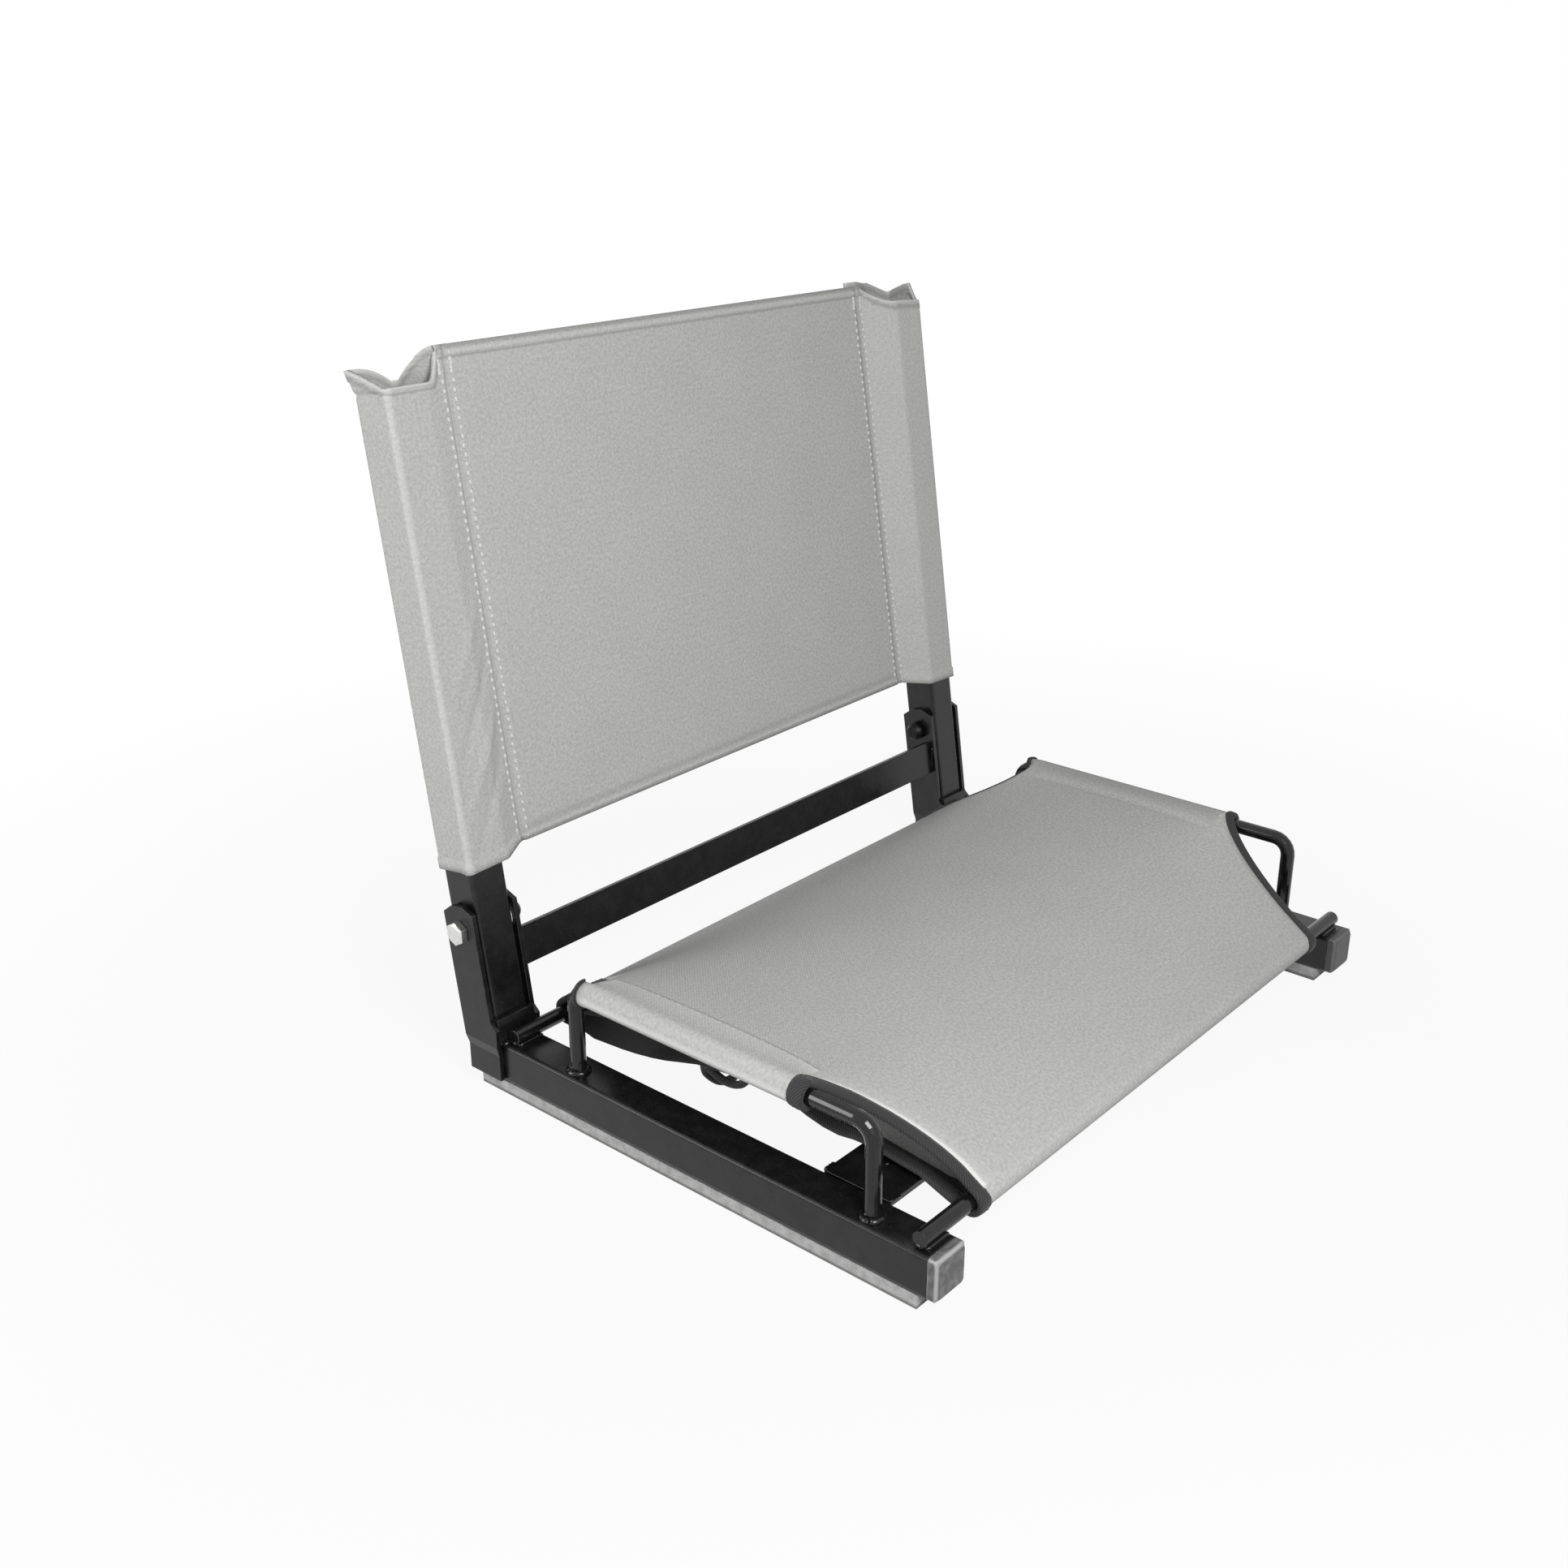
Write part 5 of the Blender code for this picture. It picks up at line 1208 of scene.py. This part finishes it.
def sleeve_crease(label, point, along):
    """The left sleeve's front is slack low down: slanting creases, as a way out of its surface."""
    if label == "right" or point.y > 0:
        return 0.0
    depth = 0.0
    for height, deep in CREASES:
        ridge = along - height * MM + CREASE_SLANT * (point.x + SLEEVE_HALF)
        depth += deep * MM * math.exp(-(ridge / CREASE_WIDE) ** 2)
    from_fold = (SLEEVE_HALF - FOLD_CLEAR - point.x) / CREASE_FADES_OUT
    from_seam = (point.x + SEAM_ENDS[label][0].x) / CREASE_FADES_IN
    return depth * min(max(min(from_fold, from_seam), 0.0), 1.0)


# %% Rows and columns of the back
STRAIGHT_ROWS = 76
FREE_ROWS = 14
HEM = 7.0 * MM
HEM_STEP = 0.35 * MM                    # half of the way over which a hem's thickness ends
PANEL_STEPS = 36
BELLY = 1.2 * MM
BELLY_LOW = 0.4                         # share of the belly at the panel's lower edge
SEAM_VALLEY = 1.7 * MM
VALLEY_COLUMNS = 8
BESIDE_VALLEY = 3.5 * MM


def panel_belly(across, along):
    """How far the panel stands back from the straight line between its seams."""
    tall = (along - SLING_BOTTOM) / (UPRIGHT_TOP + PANEL_RISE - SLING_BOTTOM)
    return BELLY * (1 - across ** 2) * (BELLY_LOW + (1 - BELLY_LOW) * tall)


def panel_ways(wide):
    """The ways across the panel from its left seam: close together between the rows of stitches."""
    fine = [SEAM_ROW_GAP * step / VALLEY_COLUMNS for step in range(1, VALLEY_COLUMNS + 1)]
    fine.append(SEAM_ROW_GAP + BESIDE_VALLEY)
    plain = wide - 2 * fine[-1]
    ways = list(fine)
    ways.extend(fine[-1] + plain * step / PANEL_STEPS for step in range(1, PANEL_STEPS))
    ways.extend(wide - way for way in fine[::-1])
    return ways


def row_levels():
    """The rows' shares of the part on the uprights and of the free part; two rows mark each hem's edge."""
    held_height = FREE_LEVEL - SLING_BOTTOM
    free_height = UPRIGHT_TOP + PANEL_RISE - FREE_LEVEL
    held = [step / STRAIGHT_ROWS for step in range(STRAIGHT_ROWS + 1)]
    free = [step / FREE_ROWS for step in range(1, FREE_ROWS + 1)]
    for edge in (HEM - HEM_STEP, HEM + HEM_STEP):
        held.append(edge / held_height)
        free.append(1 - edge / free_height)
    return [(share, 0.0) for share in sorted(held)] + [(1.0, share) for share in sorted(free)]


# %% Where the back has painted light and shade, and paler or darker tone
# Painted shade in the seams' valleys, deeper on the right.
VALLEY_SHADE = {"left": -0.3, "right": -0.65}
FRONT_LIGHT = 0.12                     # painted light on the right sleeve's front
FRONT_ENDS = 0.5 * MM                   # where that ends, behind the upright's middle
FOLD_HIGHLIGHT = 0.3                       # painted highlight on the left sleeve's front fold
FOLD_INSET = 1.0 * MM                   # middle of the fold, in from the outer face
FOLD_HIGHLIGHT_WIDE = 2.6 * MM
EDGE_DARKER = -0.5                      # darker along the panel's edges
EDGE_DARKER_WIDE = 2.6 * MM
HEM_LINE_SHADE = -0.35                 # painted shade at the step where a hem ends
HEM_PALER = 0.15
MOUTH_EDGE_PALER = 0.35                     # paler along the edge of a sleeve's mouth
MOUTH_PALER_WIDE = 1.2 * MM
MOUTH_LINE_SHADE = -0.45               # painted shade on the line where the mouth is turned in
MOUTH_LINE = 4.4 * MM
MOUTH_LINE_WIDE = 1.4 * MM


def fold_painted_light(label, place):
    """Painted light on a sleeve: a highlight along the left one's front fold, paler on the right one's front.
    """
    if label == "right":
        on_front = place.x < SLEEVE_HALF - FOLD_CLEAR and place.y < FRONT_ENDS
        return FRONT_LIGHT if on_front else 0.0
    fold = Vector((SLEEVE_HALF - FOLD_INSET, -SLEEVE_HALF))
    return FOLD_HIGHLIGHT * max(1 - (place - fold).length / FOLD_HIGHLIGHT_WIDE, 0.0)


def hem_tone_and_shade(inside):
    """Darker edges, painted shade where a hem ends, and paler hems; inside is the way from the edge."""
    if inside < EDGE_DARKER_WIDE:
        return EDGE_DARKER
    if abs(inside - HEM) < 2 * HEM_STEP:
        return HEM_LINE_SHADE
    return HEM_PALER if inside < HEM else 0.0


def mouth_tone_and_shade(below):
    """How a sleeve's mouth is marked: a paler edge, and painted shade on the line where it is turned in."""
    if below < MOUTH_PALER_WIDE:
        return MOUTH_EDGE_PALER
    return MOUTH_LINE_SHADE if abs(below - MOUTH_LINE) < MOUTH_LINE_WIDE else 0.0


# %% Hang the back
def back_row(straight, free):
    """One row of the back, from the left rear seam to the right one: points, and their painted light and
    tone.
    """
    tall = (straight * STRAIGHT_ROWS + free * FREE_ROWS) / (STRAIGHT_ROWS + FREE_ROWS)
    sides = {}
    for label, sign in SIDES:
        points = []
        for place, rise, bottom in sleeve_points(label, tall):
            top = UPRIGHT_TOP + rise
            along = bottom + (FREE_LEVEL - bottom) * straight + (top - FREE_LEVEL) * free
            moved = place + sleeve_flop(label, place, max(along - FREE_LEVEL, 0.0))
            behind = moved.y - sleeve_crease(label, place, along)
            share = fold_painted_light(label, place) + (mouth_tone_and_shade(top - along) if free > 0 else 0.0)
            points.append((lean(sign * (RAIL_X + moved.x), along, behind), share))
        sides[label] = points
    top = UPRIGHT_TOP + PANEL_RISE
    along = SLING_BOTTOM + (FREE_LEVEL - SLING_BOTTOM) * straight + (top - FREE_LEVEL) * free
    start, end = (SEAM_ENDS[label][0].lerp(SEAM_ENDS[label][1], tall) for label, sign in SIDES)
    wide = 2 * RAIL_X - start.x - end.x
    panel = []
    for way in panel_ways(wide):
        across = way / wide
        from_seam = min(way, wide - way)
        sunk = math.sin(math.pi * min(from_seam / SEAM_ROW_GAP, 1.0)) ** 3
        between_seams = start.y + (end.y - start.y) * across
        behind = between_seams + panel_belly(2 * across - 1, along) + SEAM_VALLEY * sunk
        share = hem_tone_and_shade(min(top - along, along - SLING_BOTTOM))
        if sunk > 0.01:
            share = min(share, VALLEY_SHADE["left" if across < 0.5 else "right"] * sunk)
        panel.append((lean(start.x - RAIL_X + way, along, behind), share))
    return sides["left"] + panel + sides["right"][::-1]


back_rows = [back_row(straight, free) for straight, free in row_levels()]
back_bm, back_grid = cloth_grid(len(back_rows[0]), len(back_rows))
back_painted_light_and_tone = {}
for points, verts in zip(back_rows, back_grid):
    for (point, share), vert in zip(points, verts):
        vert.co = point
        back_painted_light_and_tone[vert] = share
print(f"{len(back_rows)} rows of {len(back_rows[0])} columns")

# %% Measure and finish the back
back_flat = {}
back_hem = set()
for column in range(len(back_rows[0])):
    up = lengths_along([row[column].co for row in back_grid])
    for row, way in zip(back_grid, up):
        back_flat[row[column]] = way
        if min(way, up[-1] - way) < HEM:
            back_hem.add(row[column])
for row in back_grid:
    across = lengths_along([vert.co for vert in row])
    centre_way = across[len(row) // 2]
    for vert, way in zip(row, across):
        back_flat[vert] = Vector((way - centre_way, back_flat[vert]))
bmesh.ops.recalc_face_normals(back_bm, faces=back_bm.faces[:])
back_bm.normal_update()
front_vert = back_grid[STRAIGHT_ROWS // 2][len(back_rows[0]) // 2]
if front_vert.normal.y > 0:
    bmesh.ops.reverse_faces(back_bm, faces=back_bm.faces[:])
    back_bm.normal_update()
back_kept = [[(vert.co.copy(), vert.normal.copy()) for vert in row] for row in back_grid]
back_area = sum(face.calc_area() for face in back_bm.faces)
lay_out(back_bm, back_flat)
back = finish_piece("back_cloth", back_bm, canvas, "backrest", 2 * CLOTH, back_hem, back_painted_light_and_tone)
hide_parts("back_sling")

# %% [markdown]
# ## Stitches
# A seam is read by its stitches. Each is a short, slightly sunken lozenge of thread, so a small sphere
# stretched along the seam does for it, with few faces, because there are hundreds. A helper walks along a
# line on the cloth and sets one stitch in every pitch.

# %% Stitch helpers
STITCH_PITCH = 5.2 * MM
STITCH_LENGTH = 3.8 * MM
STITCH_WIDE = 2.3 * MM
STITCH_FLATNESS = 2.6           # a stitch's width over half its height
STITCH_SWAY = 0.3 * MM          # to and fro beside the line
SWAY_TURN = 2.4                 # radians of that from one stitch to the next


def walk(line, distance):
    """The point and normal at a distance along a line of points with normals."""
    for (point, normal), (next_point, next_normal) in zip(line, line[1:]):
        step = (next_point - point).length
        if distance <= step and step > 0:
            share = distance / step
            return point.lerp(next_point, share), normal.lerp(next_normal, share).normalized()
        distance -= step
    return line[-1]


def sew(sewing, line, lift, pitch=STITCH_PITCH, length=STITCH_LENGTH, wide=STITCH_WIDE):
    """Sets stitches along a line of points with normals, lifted from the cloth's middle."""
    total = lengths_along([point for point, normal in line])[-1]
    count = int(total / pitch)
    bm = bmesh.new()
    for index in range(count):
        start = (index + 0.5) * pitch - length / 2
        point, normal = walk(line, start + length / 2)
        ahead, _ = walk(line, start + length)
        behind, _ = walk(line, start)
        run = (ahead - behind).normalized()
        side = normal.cross(run).normalized()
        up = run.cross(side)
        turn = Matrix((run, side, up)).transposed().to_4x4()
        size = Matrix.Diagonal((length / 2, wide / 2, wide / STITCH_FLATNESS, 1.0))
        sway = STITCH_SWAY * math.sin(SWAY_TURN * index)
        place = Matrix.Translation(point + normal * lift + side * sway)
        bmesh.ops.create_uvsphere(bm, u_segments=6, v_segments=4, radius=1.0, matrix=place @ turn @ size)
    seam = bpy.data.meshes.new("seam")
    bm.to_mesh(seam)
    bm.free()
    sewing.from_mesh(seam)
    bpy.data.meshes.remove(seam)
    return count


# %% Sew the back
TACK = 9.0 * MM                 # length of the tight stitches at the upper end of a seam
TACK_PITCH = 2.4 * MM
TACK_WIDE = 2.7 * MM
OUTER_ROW = 0.3 * MM            # how far the outer of a seam's two rows lies on the sleeve's side
HEM_ROW = 1.3 * MM              # way from a hem's end to its stitches
HEM_STITCH_WIDE = 0.8 * MM
HEM_LIFT = CLOTH - 0.1 * MM
back_sewing = bmesh.new()
stitches = 0
seam_column = sleeve_count - 1
last_column = len(back_kept[0]) - 1
for outer in (True, False):
    for mirrored in (False, True):
        line = []
        for row in back_kept:
            ordered = row[::-1] if mirrored else row
            if outer:
                line.append(walk(ordered[seam_column::-1], OUTER_ROW))
            else:
                line.append(ordered[seam_column + VALLEY_COLUMNS])
        stitches += sew(back_sewing, line, CLOTH / 2)
        tack = [walk(line[::-1], HEM + TACK * step / 4) for step in range(5)]
        stitches += sew(back_sewing, tack, CLOTH / 2, pitch=TACK_PITCH, wide=TACK_WIDE)
        rear = [(point + normal * -2 * CLOTH, -normal) for point, normal in line]
        stitches += sew(back_sewing, rear, CLOTH)
hem_sewing = bmesh.new()
columns = range(seam_column, last_column - seam_column + 1)
for from_top in (True, False):
    line = []
    for column in columns:
        upright = [row[column] for row in back_kept]
        line.append(walk(upright[::-1] if from_top else upright, HEM - HEM_ROW))
    stitches += sew(hem_sewing, line, HEM_LIFT, wide=HEM_STITCH_WIDE)
    rear = [(point, -normal) for point, normal in line]
    stitches += sew(hem_sewing, rear, HEM_LIFT, wide=HEM_STITCH_WIDE)
back_seams = finish_piece("back_stitches", back_sewing, threads_of["light"], "backrest")
hem_seams = finish_piece("hem_stitches", hem_sewing, threads_of["grey"], "backrest")
print(f"{stitches} stitches in the back")

# %% Sew the seat and its tape
SEAT_STITCH_WIDE = 1.1 * MM
SEAT_LIFT = CLOTH / 2 - 0.2 * MM
TAPE_PITCH = 4.0 * MM
TAPE_STITCH_LENGTH = 2.8 * MM
TAPE_STITCH_WIDE = 0.8 * MM
TAPE_LIFT = CLOTH / 2 + FIT + TAPE_THICK
TAPE_ROW = 0.2                  # share of the seen tape's width where it is sewn
seat_sewing = bmesh.new()
for label, side in SIDES:
    line = []
    for row in range(first_row, last_row + 1):
        ordered = seat_rows_kept[row] if side < 0 else seat_rows_kept[row][::-1]
        line.append(ordered[side_columns + SEAM_COLUMN])
    stitches += sew(seat_sewing, line, SEAT_LIFT, wide=SEAT_STITCH_WIDE)
seat_seams = finish_piece("seat_stitches", seat_sewing, threads_of["grey"], "base")

tape_sewing = bmesh.new()
for corner, stations in tape_stations.items():
    for sign in (1, -1):
        line = []
        for index, (inner, inner_normal, edge, _) in enumerate(stations):
            share = TAPE_ROW + (1 - TAPE_ROW) * covered_share(corner, index)
            line.append((inner.lerp(edge, share), inner_normal * sign))
        stitches += sew(tape_sewing, line, TAPE_LIFT, TAPE_PITCH, TAPE_STITCH_LENGTH, TAPE_STITCH_WIDE)
tape_seams = finish_piece("tape_stitches", tape_sewing, threads_of["black"], "base")
print(f"{stitches} stitches in all")

# %% [markdown]
# ## The lacing
# A cord goes up through an eyelet of the rear flap, over the gap, down through one of the front flap and back
# underneath to the next, and pulls the seat tight. Before the first eyelet it hangs in a loop, and its end is
# wound round its own first run as a knot. The tube is a grid again: rings of points along a smooth line,
# turned as little as possible from ring to ring, closed by a merge.

# %% Route of the cord
LACE = 5.0 * MM
LACE_SAG = 8.0 * MM             # of the runs below the flaps
LACE_PULL = 3.0 * MM            # how far the cord is drawn towards the gap in an eyelet
LACE_EASE = 1.2 * MM
KNOT_TURNS = 1.5
KNOT_STEPS = 8                  # points in each turn
LOOP_OUT = 9.0 * MM
LOOP_REACH = 33.0 * MM
LOOP_DROP = 24.0 * MM
# The loop's points, as shares of its way outwards, to the rear and down.
LOOP = (
    (0.7, -0.2, 0.2), (0.9, 0.05, 0.53), (1.0, 0.37, 0.6), (1.0, 0.69, 0.48), (0.85, 0.91, 0.4),
    (0.6, 1.0, 0.62), (0.3, 1.0, 0.86), (0.0, 0.81, 1.0), (-0.2, 0.59, 0.88), (-0.3, 0.38, 0.6),
    (-0.15, 0.15, 0.3),
)


def lacing_route():
    """Points that the cord passes through, from its free end to its last eyelet."""
    front_eyelet = FRONT_ROD_Y + FLAP_LENGTH - EYELET_INSET
    rear_eyelet = REAR_ROD_Y - REAR_FLAP_LENGTH + EYELET_INSET
    over = FLAP_Z + CLOTH / 2 + FIT + LACE / 2
    under = FLAP_Z - LACE_SAG
    front_pull = front_eyelet + LACE_PULL
    rear_pull = rear_eyelet - LACE_PULL
    first_x = -(EYELETS - 1) / 2 * EYELET_PITCH
    gap_y = (front_eyelet + rear_eyelet) / 2
    route = [Vector((first_x + 2 * LACE, gap_y - 2 * LACE, over + LACE))]
    knot_points = int(KNOT_STEPS * KNOT_TURNS)
    for step in range(knot_points + 1):
        turn = 2 * math.pi * step / KNOT_STEPS + math.pi / 4
        along = gap_y - LACE + 2 * LACE * step / knot_points
        route.append(Vector((first_x + LACE * math.cos(turn), along, over + LACE * math.sin(turn))))
    for out, reach, drop in LOOP:
        place = (first_x - out * LOOP_OUT, rear_eyelet + reach * LOOP_REACH, FLAP_Z - drop * LOOP_DROP)
        route.append(Vector(place))
    for index in range(EYELETS):
        x = first_x + index * EYELET_PITCH
        route.extend((
            Vector((x, rear_eyelet, FLAP_Z)),
            Vector((x, rear_pull, over)),
            Vector((x, front_pull, over)),
            Vector((x, front_eyelet, FLAP_Z)),
            Vector((x, front_pull, under + LACE_EASE)),
            Vector((x + EYELET_PITCH / 2, gap_y, under)),
            Vector((x + EYELET_PITCH, rear_pull, under + LACE_EASE)),
        ))
    return route[:-2]


# %% Tubes along a line
MERGE_WITHIN = 0.001 * MM


def smooth_line(route, steps):
    """A smooth line through the points of a route."""
    line = []
    last = len(route) - 1
    for index in range(last):
        before = route[max(index - 1, 0)]
        start, end = route[index], route[index + 1]
        after = route[min(index + 2, last)]
        for step in range(steps):
            t = step / steps
            bend = (before * -1 + start * 3 - end * 3 + after) * t ** 3
            bend += (before * 2 - start * 5 + end * 4 - after) * t ** 2
            line.append(start + ((end - before) * t + bend) / 2)
    line.append(route[last])
    return line


def cord_tube(line, radius, sides):
    """A closed tube along a line, with its flat map."""
    bm, grid = cloth_grid(sides + 1, len(line))
    ways = lengths_along(line)
    across = Vector((0, 0, 1))
    flat_places = {}
    for row, point in enumerate(line):
        run = (line[min(row + 1, len(line) - 1)] - line[max(row - 1, 0)]).normalized()
        across = (across - run * across.dot(run)).normalized()
        other = run.cross(across)
        for index, vert in enumerate(grid[row]):
            turn = 2 * math.pi * index / sides
            vert.co = point + (across * math.cos(turn) + other * math.sin(turn)) * radius
            flat_places[vert] = Vector((turn * radius, ways[row]))
    lay_out(bm, flat_places)
    bmesh.ops.remove_doubles(bm, verts=bm.verts[:], dist=MERGE_WITHIN)
    bmesh.ops.holes_fill(bm, edges=bm.edges[:], sides=0)
    bmesh.ops.recalc_face_normals(bm, faces=bm.faces[:])
    return bm, ways[-1]


# %% Thread the cord
LACE_STEPS = 6                  # from one point of the route to the next
LACE_SIDES = 10
lace_line = smooth_line(lacing_route(), LACE_STEPS)
lace_bm, lace_length = cord_tube(lace_line, LACE / 2, LACE_SIDES)
lace = finish_piece("lace", lace_bm, braid, "base")
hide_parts("lacing_cord")
print(f"lacing: {lace_length:.2f} m of {LACE / MM:.0f} mm cord")

# %% [markdown]
# ## Welds
# The frame is welded, and a weld is a row of small frozen ripples, here under the powder coat. Each bead is a
# tube along the joint whose radius swells once per ripple. It is laid into the corner between two solids,
# so that half of it shows. Short dabs are tack welds.

# %% Weld helpers
BEAD = 1.7 * MM                 # radius of a bead
BEAD_SIDES = 8
RIPPLE = 2.4 * MM
RIPPLE_STEPS = 3                # rings from one ripple to the next
RIPPLE_DEPTH = 0.14             # share of the radius by which a ripple swells and shrinks
BLUNT_END = 0.09                # square of the share of the radius left at a bead's ends


def bead_line(points, spacing):
    """Points close together along a line of straight runs."""
    line = []
    for start, end in zip(points, points[1:]):
        count = max(int((end - start).length / spacing), 1)
        line.extend(start.lerp(end, step / count) for step in range(count))
    line.append(points[-1])
    return line


def lay_bead(welding, points, radius=BEAD):
    """A rippled bead along a line, with rounded ends."""
    line = bead_line(points, RIPPLE / RIPPLE_STEPS)
    bm, _ = cord_tube(line, radius, BEAD_SIDES)
    ways = lengths_along(line)
    for vert in bm.verts:
        near = min(range(len(line)), key=lambda index: (line[index] - vert.co).length_squared)
        end_way = min(ways[near], ways[-1] - ways[near])
        swell = 1 - RIPPLE_DEPTH + RIPPLE_DEPTH * math.cos(2 * math.pi * ways[near] / RIPPLE)
        rounding = math.sqrt(max(1 - max(1 - end_way / radius, 0.0) ** 2, BLUNT_END))
        vert.co = line[near] + (vert.co - line[near]) * swell * rounding
    mesh = bpy.data.meshes.new("bead")
    bm.to_mesh(mesh)
    bm.free()
    welding.from_mesh(mesh)
    bpy.data.meshes.remove(mesh)


def ring(middle, radius, steps=16):
    """A closed round line, level with the floor."""
    turns = [2 * math.pi * step / steps for step in range(steps + 1)]
    return [middle + Vector((radius * math.cos(turn), radius * math.sin(turn), 0)) for turn in turns]


# %% Weld the rods to the rails
FOOT_BEAD = 2.3 * MM            # the ring round a post's foot
FOOT_RISE = 0.5 * MM
FOOT_OUT = 0.8 * MM             # middle of that bead outside the post
LUMP = 1.6 * MM
LUMP_TURNS = (0.4, 1.7, 2.9, 4.1, 5.3)
LUMP_IN = 0.3 * MM              # middle of a lump inside the post's surface
LUMP_FROM = 2.0                 # in mm above the rail, to about twice that
END_BEAD = 2.0 * MM             # across the ends of the cross rods
END_HALF = 3.0 * MM
BEAD_START = 1.5 * MM           # of a side bead, from the rail's inner side
BEAD_STOP = 1.0 * MM            # and from the rod's end
BEAD_IN = 1.2 * MM              # middle of a side bead inside the rod's outline
BEAD_RISE = 0.4 * MM
END_RISE = 1.2 * MM
welding = bmesh.new()
for label, side in SIDES:
    for post_y in (FRONT_POST_Y, REAR_POST_Y):
        foot = Vector((side * SEAT_ROD_X, post_y, RAIL_TOP))
        lay_bead(welding, ring(foot + Vector((0, 0, FOOT_RISE)), ROD / 2 + FOOT_OUT), FOOT_BEAD)
        for turn in LUMP_TURNS:
            lump = foot + Vector((math.cos(turn), math.sin(turn), 0)) * (ROD / 2 - LUMP_IN)
            height = (2 * LUMP_FROM + math.sin(3 * turn)) * MM
            lay_bead(welding, [lump + Vector((0, 0, LUMP_FROM * MM)), lump + Vector((0, 0, height))], LUMP)
    inner = side * (RAIL_X - TUBE / 2 + BEAD_START)
    outer = side * (CROSS_ROD_END - BEAD_STOP)
    for rod_y in (FRONT_ROD_Y, REAR_ROD_Y):
        z = RAIL_TOP + BEAD_RISE
        for sign in (-1, 1):
            y = rod_y + sign * (ROD / 2 - BEAD_IN)
            lay_bead(welding, [Vector((inner, y, z)), Vector((outer, y, z))])
        z = RAIL_TOP + END_RISE
        across = [Vector((outer, rod_y - END_HALF, z)), Vector((outer, rod_y + END_HALF, z))]
        lay_bead(welding, across, END_BEAD)
print(f"rods welded: {len(welding.faces)} faces")

# %% Weld the plates and ears
STOP_INSET = 2.0 * MM           # ends of a stop plate's bead, from the plate's own
EAR_DAB = 4.0 * MM              # length of the short welds on the ears
EAR_OUT = 0.4 * MM
EAR_DAB_BELOW = 3.0 * MM        # the upper one starts below the rail's top
EAR_DAB_ABOVE = 5.0 * MM        # and the lower one above the ear's lower end
PLATE_BEAD = 1.2 * MM
PLATE_DAB = 9.0 * MM
SPOT = 1.4 * MM                 # the weld spots on the front plate
SPOT_INSET = 25.0 * MM
SPOT_LENGTH = 3.0 * MM
BAR_INSET = 4.0 * MM            # ends of the crossbar's beads, from its edges
BAR_BEHIND = 1.0 * MM           # and their way behind its front
for label, side in SIDES:
    low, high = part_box(f"{label}_stop_plate")
    start = Vector((low.x + STOP_INSET, low.y, RAIL_TOP))
    lay_bead(welding, [start, Vector((high.x - STOP_INSET, low.y, RAIL_TOP))])
    for ear, facing in ((f"{label}_outer_ear", side), (f"{label}_inner_ear", -side)):
        low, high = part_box(ear)
        face = side * (RAIL_X + facing * side * TUBE / 2)
        for height in (RAIL_TOP - EAR_DAB_BELOW, low.z + EAR_DAB_ABOVE):
            foot = Vector((face + facing * EAR_OUT, low.y, height))
            lay_bead(welding, [foot, foot - Vector((0, 0, EAR_DAB))])
    low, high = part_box("front_cross_plate")
    for y in (low.y, high.y):
        start = Vector((side * high.x, y, high.z))
        lay_bead(welding, [start, Vector((side * (high.x - PLATE_DAB), y, high.z))], PLATE_BEAD)
    spot = Vector((side * (high.x - SPOT_INSET), (low.y + high.y) / 2, high.z))
    lay_bead(welding, [spot, spot + Vector((SPOT_LENGTH, 0, 0))], SPOT)
    low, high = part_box("rear_crossbar")
    end = Vector((side * high.x, low.y + BAR_BEHIND, high.z - BAR_INSET))
    lay_bead(welding, [end, end - Vector((0, 0, high.z - low.z - 2 * BAR_INSET))], PLATE_BEAD)
bmesh.ops.recalc_face_normals(welding, faces=welding.faces[:])
welds = finish_piece("welds", welding, coats["pooled"], "base")
print(f"welds: {len(welds.data.polygons)} faces")
